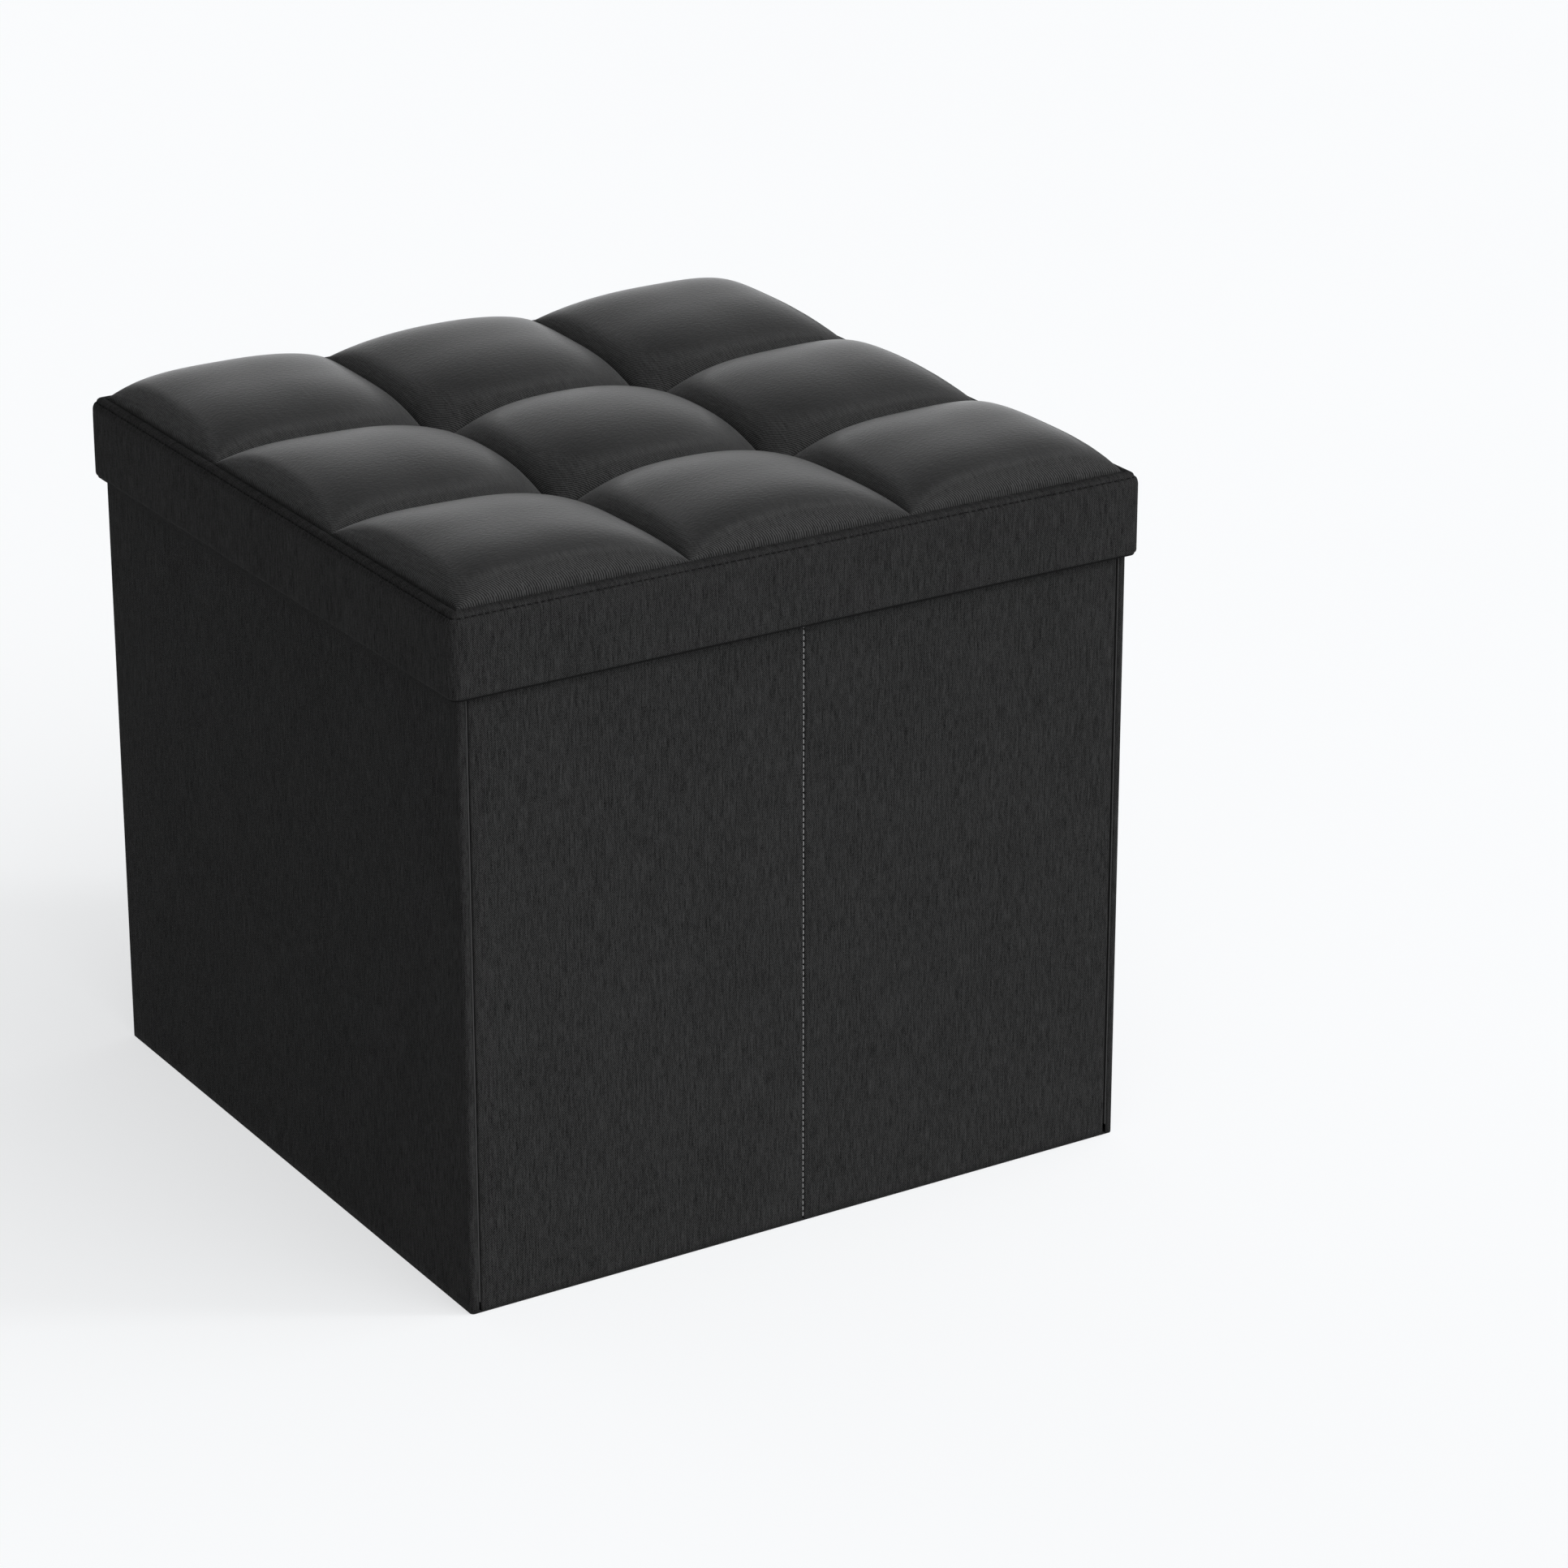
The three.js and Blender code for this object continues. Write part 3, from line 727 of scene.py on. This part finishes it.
TOP_STITCH_ANGLE = 137
ROLL = 0.3 * MM
STITCH_DENT = 0.6 * MM
STITCH_DENT_WIDTH = 7
LIP = 0.5 * MM
LIP_CLEARANCE = 0.1 * MM
SKIRT_SHEET = 0.6 * MM
SKIRT_RETURN = 4.3 * MM
RETURN_HEIGHTS = np.array([15.3, 8.0]) * MM
HEM_WAVE = 0.3 * MM
SKIRT_RIPPLE = 0.45 * MM
# Sizes of the black sheet under the hem, a painted shadow that stands in for the shade below the skirt
HEM_SHADOW_SHOWS = 0.8 * MM
HEM_SHADOW_INSET = 1.1 * MM
HEM_SHADOW_RISE = 6 * MM
STAPLE_INSET = 14 * MM


def skirt_section():
    """The skirt's fabric, from its inner return, round the hem, up and over to the cushion's seam."""
    hem = SKIRT_HEM_RADIUS
    top = SEAM_HEIGHT - SKIRT_TOP_RADIUS
    section = [(SKIRT_RETURN, SKIRT_BOTTOM + height) for height in RETURN_HEIGHTS]
    section += arc(SKIRT_RETURN - hem, SKIRT_BOTTOM + hem, hem, 0, -90, 5)
    section += arc(hem, SKIRT_BOTTOM + hem, hem, 270, 180, 6)
    section += [(0, height) for height in np.linspace(SKIRT_BOTTOM + 2 * hem, top, 12)[:-1]]
    for angle in np.linspace(180, 90, 46):
        dent = STITCH_DENT * math.exp(-(((angle - TOP_STITCH_ANGLE) / STITCH_DENT_WIDTH) ** 2))
        rise = max((TOP_STITCH_ANGLE - angle) / (TOP_STITCH_ANGLE - 90), 0)
        roll = ROLL * math.sin(math.pi * min(rise, 1)) if rise > 0 else 0
        radius = SKIRT_TOP_RADIUS - dent + roll
        turn = math.radians(angle)
        section.append((SKIRT_TOP_RADIUS + radius * math.cos(turn), top + radius * math.sin(turn)))
    edge = 0.5 * MM
    groove = SEAM_INSET - 2 * LIP - LIP_CLEARANCE
    lip_foot = SEAM_HEIGHT - LIP
    section += arc(groove - edge, SEAM_HEIGHT - edge, edge, 80, 0, 5)
    section += [(groove, lip_foot), (groove + LIP_CLEARANCE, lip_foot)]
    section += arc(groove + LIP_CLEARANCE + LIP, lip_foot + LIP_CLEARANCE, LIP, 180, 0, 9)
    section += [(SEAM_INSET, SEAM_HEIGHT - 2.5 * MM)]
    return section


def lid_skirt():
    """Fabric skirt round the lid's edge, with the dark topstitching under the seam."""
    section = skirt_section()
    points, across, up = square_loft(LID_HALF, LID_CORNER_RADIUS, section)
    outside = (np.array(section)[:, 0] < 0.01 * MM)[:, None]
    heights = points[:, :, 2]
    straight = SEAM_HEIGHT - SKIRT_TOP_RADIUS - SKIRT_BOTTOM
    climb = np.clip((heights - SKIRT_BOTTOM) / straight, 0, 1)
    held = outside * (climb * (1 - climb)) ** 0.5 * 2
    loose = held * (0.1 * MM + ripple(across[None, :-1], heights, 41, 0.09, SKIRT_RIPPLE))
    away = points[0, :, :2] / np.abs(points[0, :, :2]).max(axis=1, keepdims=True)
    away = np.where(np.abs(away) > 0.999, np.sign(away), 0)
    points[:, :, 0] += loose * away[None, :, 0]
    points[:, :, 1] += loose * away[None, :, 1]
    hem_wave = ripple(across[:-1], 0, 43, 0.12, HEM_WAVE)
    near_hem = np.clip(1 - climb * 4, 0, 1) * (heights < SEAM_HEIGHT - 20 * MM)
    points[:, :, 2] += hem_wave[None, :] * near_hem
    cover = grid_piece("skirt_cover", points, across, up, closed=True)
    thicken(cover, SKIRT_SHEET)
    dress(cover, COVER, "cover_fabric", "lid", "lid_skirt_cover")
    turn = math.radians(TOP_STITCH_ANGLE)
    reach = SKIRT_TOP_RADIUS - STITCH_DENT
    line = square_outline(LID_HALF, LID_CORNER_RADIUS, SKIRT_TOP_RADIUS + reach * math.cos(turn))
    height = SEAM_HEIGHT - SKIRT_TOP_RADIUS + reach * math.sin(turn)
    path = np.column_stack([line, np.full(len(line), height)])
    sideways = away / np.linalg.norm(away, axis=1, keepdims=True)
    outward = np.column_stack([-math.cos(turn) * sideways, np.full(len(path), math.sin(turn))])
    stitches = thread_run("top_stitches", path, outward, TOP_STITCH, 0.1 * MM, closed=True)
    dress(stitches, DARK_THREAD_AND_SHADE, "tie_thread", "lid")


def skirt_hem_painted_shadow():
    """Painted shadow under the skirt's hem: a black sheet inside the hem, whose edge shows as a thin dark
    line under it where the hem's shade falls.
    """
    outer = HEM_SHADOW_INSET
    inner = outer + 0.6 * MM
    bevel = 0.1 * MM
    bottom = SKIRT_BOTTOM - HEM_SHADOW_SHOWS
    top = SKIRT_BOTTOM + HEM_SHADOW_RISE
    section = [(inner, top), (inner, bottom + bevel), (inner - bevel, bottom)]
    section += [(outer + bevel, bottom), (outer, bottom + bevel)]
    section += [(outer, SKIRT_BOTTOM + 0.8 * MM), (outer + 0.2 * MM, top)]
    points, across, up = square_loft(LID_HALF, LID_CORNER_RADIUS, section)
    painted_shadow_sheet = grid_piece("skirt_hem_painted_shadow", points, across, up, closed=True)
    dress(painted_shadow_sheet, DARK_THREAD_AND_SHADE, "lining_fabric", "lid")


def lid_staples():
    """Staples that hold the lining under the lid, along its four sides."""
    inset = LID_HALF - BOX_HALF + STAPLE_INSET
    line = square_outline(LID_HALF, LID_CORNER_RADIUS, inset)
    path = np.column_stack([line, np.full(len(line), LID_LINING_BOX[0][2])])
    downward = np.tile((0.0, 0.0, -1.0), (len(path), 1))
    staples = thread_run("lid_staples", path, downward, STAPLE, 0.1 * MM, closed=True)
    dress(staples, STEEL, "wall_board", "lid")


# Cushion


PILLOWS = 3
SEAM_PLACES = np.array([-1, 1]) * CUSHION_HALF / PILLOWS
SEAM_DIP = 3 * MM
TUFT_DEPTH = 9 * MM
TUFT_REACH = 30 * MM
PILLOW_FULLNESS = 0.5
BORDER_SQUARENESS = 3.6
SEAM_SQUARENESS = 2.2
PILLOW_HEIGHT = CUSHION_CREST - SEAM_HEIGHT + SEAM_DIP
COVER_SHEET = 1.0 * MM
COVER_FILL = 0.8
FOAM_GAP = 1.2 * MM
FOAM_LINES = 73
FOAM_WAIST = 1.5 * MM
CUSHION_TUCK = 2.2 * MM
FINE_CELL = 0.9 * MM
COARSE_CELL = 2.4 * MM
FINE_REACH = 27 * MM
PUCKER_PITCH = 3.4 * MM
PUCKER_HEIGHT = 0.12 * MM
PUCKER_REACH = 7 * MM
PUCKER_START = 1.2 * MM
PUCKER_SPREAD = 15 * MM
PUCKER_WANDER = 11 * MM


def pillow_share(x, y):
    """How full the pillow is at a place, from 0 on the seams to 1 in the middle."""
    def dome(distance):
        place = (distance / CUSHION_HALF + 1) / 2 * PILLOWS
        cell = np.clip(np.floor(place + 1e-6), 0, PILLOWS - 1)
        share = 2 * (place - cell) - 1
        to_border = ((cell == 0) & (share < 0)) | ((cell == PILLOWS - 1) & (share > 0))
        squareness = np.where(to_border, BORDER_SQUARENESS, SEAM_SQUARENESS)
        return np.clip(1 - np.abs(share) ** squareness, 0, 1)
    return (dome(x) * dome(y)) ** PILLOW_FULLNESS


def tuft_pull(x, y, reach):
    """How near a place is to the four tufts, from 0 to 1."""
    pulls = [np.exp(-((x - a) ** 2 + (y - b) ** 2) / reach**2) for a in SEAM_PLACES for b in SEAM_PLACES]
    return sum(pulls)


def cushion_height(x, y, fill=1.0):
    """Height of the cushion's top before its cloth is simulated."""
    inside = (1 - (x / CUSHION_HALF) ** 4) * (1 - (y / CUSHION_HALF) ** 4)
    share = pillow_share(x, y)
    pulled = TUFT_DEPTH * tuft_pull(x, y, TUFT_REACH) * (1 - share)
    return SEAM_HEIGHT - SEAM_DIP * inside - pulled + fill * PILLOW_HEIGHT * share


def puckers(x, y):
    """Small gathers across the seams, strongest near the tufts."""
    total = np.zeros(x.shape)
    for across, along, phase in ((x, y, 0.4), (y, x, 1.9)):
        for place in SEAM_PLACES:
            away = np.abs(across - place)
            side = np.sign(across - place)
            nearest = np.min([np.abs(along - tuft) for tuft in SEAM_PLACES], axis=0)
            uneven = 0.9 * np.sin(along / PUCKER_WANDER + phase * 3)
            wave = np.sin(2 * math.pi * along / PUCKER_PITCH + phase + side + uneven)
            reach = np.exp(-((away / PUCKER_REACH) ** 2)) * (1 - np.exp(-((away / PUCKER_START) ** 2)))
            total += wave * reach * np.exp(-((nearest / PUCKER_SPREAD) ** 2))
    return total * PUCKER_HEIGHT


def cushion_lines():
    """Grid lines across the cushion: close together near the tufts and the border."""
    edges = [-CUSHION_HALF]
    for place in SEAM_PLACES:
        edges += [place - FINE_REACH, place, place + FINE_REACH]
    edges.append(CUSHION_HALF)
    lines = []
    for number, (start, end) in enumerate(zip(edges, edges[1:])):
        cell = COARSE_CELL if number % 3 == 0 else FINE_CELL
        lines.append(np.linspace(start, end, int(round((end - start) / cell)) + 1))
    near = np.array([0.3, 0.8, 1.5, 2.4, 3.6]) * MM
    border = [-CUSHION_HALF + near, CUSHION_HALF - near]
    seams = [place + sign * 0.35 * MM for place in SEAM_PLACES for sign in (-1, 1)]
    return np.unique(np.round(np.concatenate([*lines, *border, seams]), 7))


SIM_CELLS = 96
SIM_FILL = 0.95
SIM_FRAMES = 20
SIM_CAP = 2.5 * MM


def simulate_cloth():
    """Cloth blown up from inside between its sewn seams, as a displacement on an even grid."""
    lines = np.linspace(-CUSHION_HALF, CUSHION_HALF, SIM_CELLS + 1)
    x, y = np.meshgrid(lines, lines)
    start = np.stack([x, y, cushion_height(x, y, SIM_FILL)], -1)
    faces, _ = grid_faces(SIM_CELLS + 1, SIM_CELLS + 1)
    sheet = make_piece("cloth_run", start.reshape(-1, 3), faces)
    sewn = sheet.vertex_groups.new(name="sewn")
    every = SIM_CELLS // PILLOWS
    rows, columns = np.indices(x.shape)
    on_seam = (rows % every == 0) | (columns % every == 0)
    sewn.add([int(place) for place in np.flatnonzero(on_seam.ravel())], 1.0, "REPLACE")
    cloth = sheet.modifiers.new("cloth", "CLOTH")
    settings = cloth.settings
    settings.quality = 6
    settings.mass = 0.25
    settings.tension_stiffness = 40
    settings.compression_stiffness = 40
    settings.shear_stiffness = 8
    settings.bending_stiffness = 0.4
    settings.tension_damping = 15
    settings.use_pressure = True
    settings.uniform_pressure_force = 4
    settings.effector_weights.gravity = 0
    settings.vertex_group_mass = "sewn"
    cloth.collision_settings.use_collision = False
    cloth.point_cache.frame_start = 1
    cloth.point_cache.frame_end = SIM_FRAMES
    for number in range(1, SIM_FRAMES + 1):
        bpy.context.scene.frame_set(number)
    run = sheet.evaluated_get(bpy.context.evaluated_depsgraph_get()).to_mesh()
    moved = np.zeros(len(run.vertices) * 3)
    run.vertices.foreach_get("co", moved)
    bpy.context.scene.frame_set(1)
    bpy.data.objects.remove(sheet, do_unlink=True)
    shift = moved.reshape(start.shape) - np.stack([x, y, cushion_height(x, y)], -1)
    length = np.linalg.norm(shift, axis=-1, keepdims=True)
    return shift * np.minimum(1, SIM_CAP / np.maximum(length, 1e-9))


def resample(field, x, y):
    """Values between the points of the simulation's even grid."""
    column = np.clip((x / CUSHION_HALF + 1) / 2 * SIM_CELLS, 0, SIM_CELLS - 1e-6)
    row = np.clip((y / CUSHION_HALF + 1) / 2 * SIM_CELLS, 0, SIM_CELLS - 1e-6)
    left = column.astype(int)
    below = row.astype(int)
    share_x = (column - left)[..., None]
    share_y = (row - below)[..., None]
    lower = field[below, left] * (1 - share_x) + field[below, left + 1] * share_x
    upper = field[below + 1, left] * (1 - share_x) + field[below + 1, left + 1] * share_x
    return lower * (1 - share_y) + upper * share_y


def cushion():
    """Tufted cushion: the blown-up cloth, its cover and its foam."""
    shift = np.zeros((SIM_CELLS + 1, SIM_CELLS + 1, 3))
    shift = simulate_cloth()
    cushion_cover(shift)
    cushion_foam(shift)


def cushion_cover(shift):
    """The sewn cover, with its edge turned down inside the skirt's seam."""
    lines = cushion_lines()
    x, y = np.meshgrid(lines, lines)
    points = np.stack([x, y, cushion_height(x, y)], -1)
    points += resample(shift, x, y)
    points[..., 2] += puckers(x, y)
    rim = np.pad(points, ((1, 1), (1, 1), (0, 0)), mode="edge")
    edge = np.ones(rim.shape[:2], bool)
    edge[1:-1, 1:-1] = False
    rim[edge, 2] -= CUSHION_TUCK
    far = np.concatenate([[lines[0] - CUSHION_TUCK], lines, [lines[-1] + CUSHION_TUCK]])
    cover = grid_piece("cushion_cover.top", rim, far, far)
    thicken(cover, COVER_SHEET * COVER_FILL)
    dress(cover, SEAT_COVER, "cover_fabric", "lid", "cushion_cover")


def cushion_foam(shift):
    """The foam under the cover."""
    lines = np.linspace(-CUSHION_HALF, CUSHION_HALF, FOAM_LINES)
    x, y = np.meshgrid(lines, lines)
    under = np.stack([x, y, cushion_height(x, y)], -1)
    under[..., 2] += resample(shift, x, y)[..., 2] - COVER_SHEET - FOAM_GAP
    foam = foam_block(under, FOAM_BOX[0][2])
    dress(foam, FOAM, "foam", "lid", "cushion_foam")


def foam_block(top, bottom):
    """A closed block under a grid of points, with a rounded-in side and a flat underside."""
    size = len(top)
    base = top.copy()
    base[..., 2] = bottom
    waist = (top + base) / 2
    waist[..., :2] *= 1 - FOAM_WAIST / CUSHION_HALF
    faces, _ = grid_faces(size, size)
    under, _ = grid_faces(size, size, flip=True, start=2 * size * size)
    layer = size * size
    ring = [c for c in range(size)]
    ring += [r * size + size - 1 for r in range(1, size)]
    ring += [(size - 1) * size + c for c in range(size - 2, -1, -1)]
    ring += [r * size for r in range(size - 2, 0, -1)]
    for level in range(2):
        for here, there in zip(ring, ring[1:] + ring[:1]):
            upper = level * layer
            lower = upper + layer
            faces.append([upper + here, lower + here, lower + there, upper + there])
    points = np.concatenate([top.reshape(-1, 3), waist.reshape(-1, 3), base.reshape(-1, 3)])
    foam = make_piece("foam_block", points, faces + under)
    used = np.zeros(len(points), bool)
    used[[corner for face in foam.data.polygons for corner in face.vertices]] = True
    remove_loose(foam, used)
    return foam


def remove_loose(piece, used):
    """Drops the points that no face uses."""
    keep = np.cumsum(used) - 1
    points = np.array([v.co for v in piece.data.vertices])[used]
    faces = [[int(keep[corner]) for corner in face.vertices] for face in piece.data.polygons]
    fresh = bpy.data.meshes.new(piece.name)
    fresh.from_pydata(points.tolist(), [], faces)
    fresh.polygons.foreach_set("use_smooth", [True] * len(fresh.polygons))
    piece.data = fresh


# Fabric in the fold gaps


GAP_DEPTH = 2.2 * MM
GAP_SHEET = 0.3 * MM
GAP_TOP = 2.5 * MM
GAP_COLUMNS = 7
GAP_ROWS = 60
GAP_CLOTH = 1.2 * MM
CREASE_SUNK = 0.25 * MM
CREASE_ENDS = 2 * MM
CREASE_LIFT = 0.12 * MM


def bridge(name, start, end, outward, bodies):
    """A strip of cover fabric in a fold gap, set a little below the faces."""
    x = np.linspace(start[0], end[0], GAP_COLUMNS)
    y = np.linspace(start[1], end[1], GAP_COLUMNS)
    heights = np.linspace(FOOT_GAP, box("left_wall_cover")[1][2] - GAP_TOP, GAP_ROWS)
    points = np.array([[(a, b, z) for a, b in zip(x, y)] for z in heights])
    strip = grid_piece(name, points, np.linspace(0, GAP_CLOTH, GAP_COLUMNS), heights, flip=outward > 0)
    thicken(strip, GAP_SHEET)
    strip.data.materials.append(COVER)
    if len(bodies) == 2:
        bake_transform(strip)
    else:
        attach(strip, bodies[0])


def fold_gaps():
    """Strips at the four corners and the two creases.

    The back right corner is open, so its strip only rides. The creases fold flat on themselves, so each has
    one strip for each panel, and its stitches lie on the left panel's lip.
    """
    panel_left = box("front_left_panel_cover")
    panel_right = box("front_right_panel_cover")
    left = (box("left_wall_lining")[1][0], panel_left[0][0])
    crease = (panel_left[1][0], panel_right[0][0])
    right = (panel_right[1][0], box("right_wall_lining")[0][0])
    front = panel_left[0][1] + GAP_DEPTH
    back = -front
    bridge("corner_front_left", (left[0], front), (left[1], front), -1, ("left_wall", "front_left"))
    bridge("corner_front_right", (right[0], front), (right[1], front), -1, ("front_right", "right_wall"))
    bridge("corner_back_left", (left[0], back), (left[1], back), 1, ("left_wall", "back_left"))
    inner = right[0] + 0.1 * MM
    bridge("corner_back_right", (inner, back), (right[1], back), 1, ("right_wall",))
    for side, depth, outward in (("front", front, -1), ("back", back, 1)):
        bridge(f"crease_{side}_left", (crease[0], depth), (0, depth), outward, (f"{side}_left",))
        bridge(f"crease_{side}_right", (0, depth), (crease[1], depth), outward, (f"{side}_right",))
        heights = np.linspace(CREASE_ENDS, panel_left[1][2] - CREASE_ENDS, 200)
        path = np.column_stack([0 * heights - CREASE_STITCH["radius"], 0 * heights, heights])
        path[:, 1] = outward * (BOX_HALF - CREASE_SUNK)
        away = np.tile((0.0, float(outward), 0.0), (len(path), 1))
        line = thread_run(f"crease_stitches_{side}", path, away, CREASE_STITCH, CREASE_LIFT)
        dress(line, LIGHT_THREAD, "tie_thread", f"{side}_left")


# Floor, light and camera


LENS = 118.4
SENSOR = 36.0
SHIFT = -0.08
AIM = Vector((0.0, -0.167, 0.288))
HEADING = math.radians(32.10)
PITCH = math.radians(20.72)
DISTANCE = 2.4346
FLOOR_HALF = 60.0
FLOOR_DROP = 0.2 * MM


def studio():
    """A plain pale floor and a camera at the viewing angle of the photograph."""
    cells = np.linspace(-FLOOR_HALF, FLOOR_HALF, 3)
    x, y = np.meshgrid(cells, cells)
    points = np.stack([x, y, np.full(x.shape, -FLOOR_DROP)], -1)
    floor = grid_piece("studio_floor", points, cells, cells)
    floor.data.materials.append(studio_floor())
    lens = bpy.data.cameras.new("camera")
    lens.lens = LENS
    lens.sensor_width = SENSOR
    lens.shift_y = SHIFT
    lens.clip_end = 200
    camera = bpy.data.objects.new("camera", lens)
    bpy.context.scene.collection.objects.link(camera)
    level = math.cos(PITCH)
    ahead = Vector((math.sin(HEADING) * level, math.cos(HEADING) * level, -math.sin(PITCH)))
    camera.location = AIM - ahead * DISTANCE
    camera.rotation_euler = ahead.to_track_quat("-Z", "Y").to_euler()
    bpy.context.scene.camera = camera


SKY_BASE = 0.02
SKY_LOBES = [
    ((0.0, 0.0, 1.0), 1.5, 0.13),
    ((0.30, -0.80, 0.55), 3.0, 2.6),
    ((0.45, 0.88, 0.05), 18.0, 0.75),
    ((1.0, 0.2, 0.3), 6.0, 0.9),
    ((-0.1, 1.0, 0.35), 10.0, 0.6),
]
SKY_COLOUR = (0.985, 0.992, 1.0, 1.0)
KEY_FROM = Vector((0.85, -0.53, 0.62))
KEY_STRENGTH = 0.7
KEY_ANGLE = math.radians(9)


def light():
    """Soft studio light: a sky that is brightest in front, and a weak key from the right."""
    world = bpy.data.worlds.new("studio_sky")
    world.use_nodes = True
    bpy.context.scene.world = world
    tree = world.node_tree
    direction = tree.nodes.new("ShaderNodeTexCoord").outputs["Generated"]

    def step(operation, first, second):
        made = tree.nodes.new("ShaderNodeMath")
        made.operation = operation
        for place, value in enumerate((first, second)):
            if isinstance(value, bpy.types.NodeSocket):
                tree.links.new(value, made.inputs[place])
            else:
                made.inputs[place].default_value = value
        return made.outputs[0]

    total = SKY_BASE
    for toward, power, strength in SKY_LOBES:
        dot = tree.nodes.new("ShaderNodeVectorMath")
        dot.operation = "DOT_PRODUCT"
        tree.links.new(direction, dot.inputs[0])
        dot.inputs[1].default_value = Vector(toward).normalized()
        value = step("MAXIMUM", dot.outputs["Value"], 0.0)
        value = step("POWER", value, power)
        value = step("MULTIPLY", value, strength)
        total = step("ADD", value, total)
    tree.links.new(total, tree.nodes["Background"].inputs["Strength"])
    tree.nodes["Background"].inputs["Color"].default_value = SKY_COLOUR
    sun = bpy.data.lights.new("key", "SUN")
    sun.energy = KEY_STRENGTH
    sun.angle = KEY_ANGLE
    key = bpy.data.objects.new("key", sun)
    bpy.context.scene.collection.objects.link(key)
    key.rotation_euler = KEY_FROM.to_track_quat("Z", "Y").to_euler()
    bpy.context.scene.view_settings.view_transform = "Standard"
    bpy.context.scene.view_settings.look = "None"


# Assembly


studio()
light()
finish_carried_over()
for number, (wall, body, axis, outward) in enumerate(WALLS):
    wall_cover(wall, body, axis, outward, seed=number + 1)
floor_tray()
base_cover()
lift_tab()
lid_skirt()
# Painted shadow: black sheet under the skirt's hem
skirt_hem_painted_shadow()
lid_staples()
cushion()
fold_gaps()
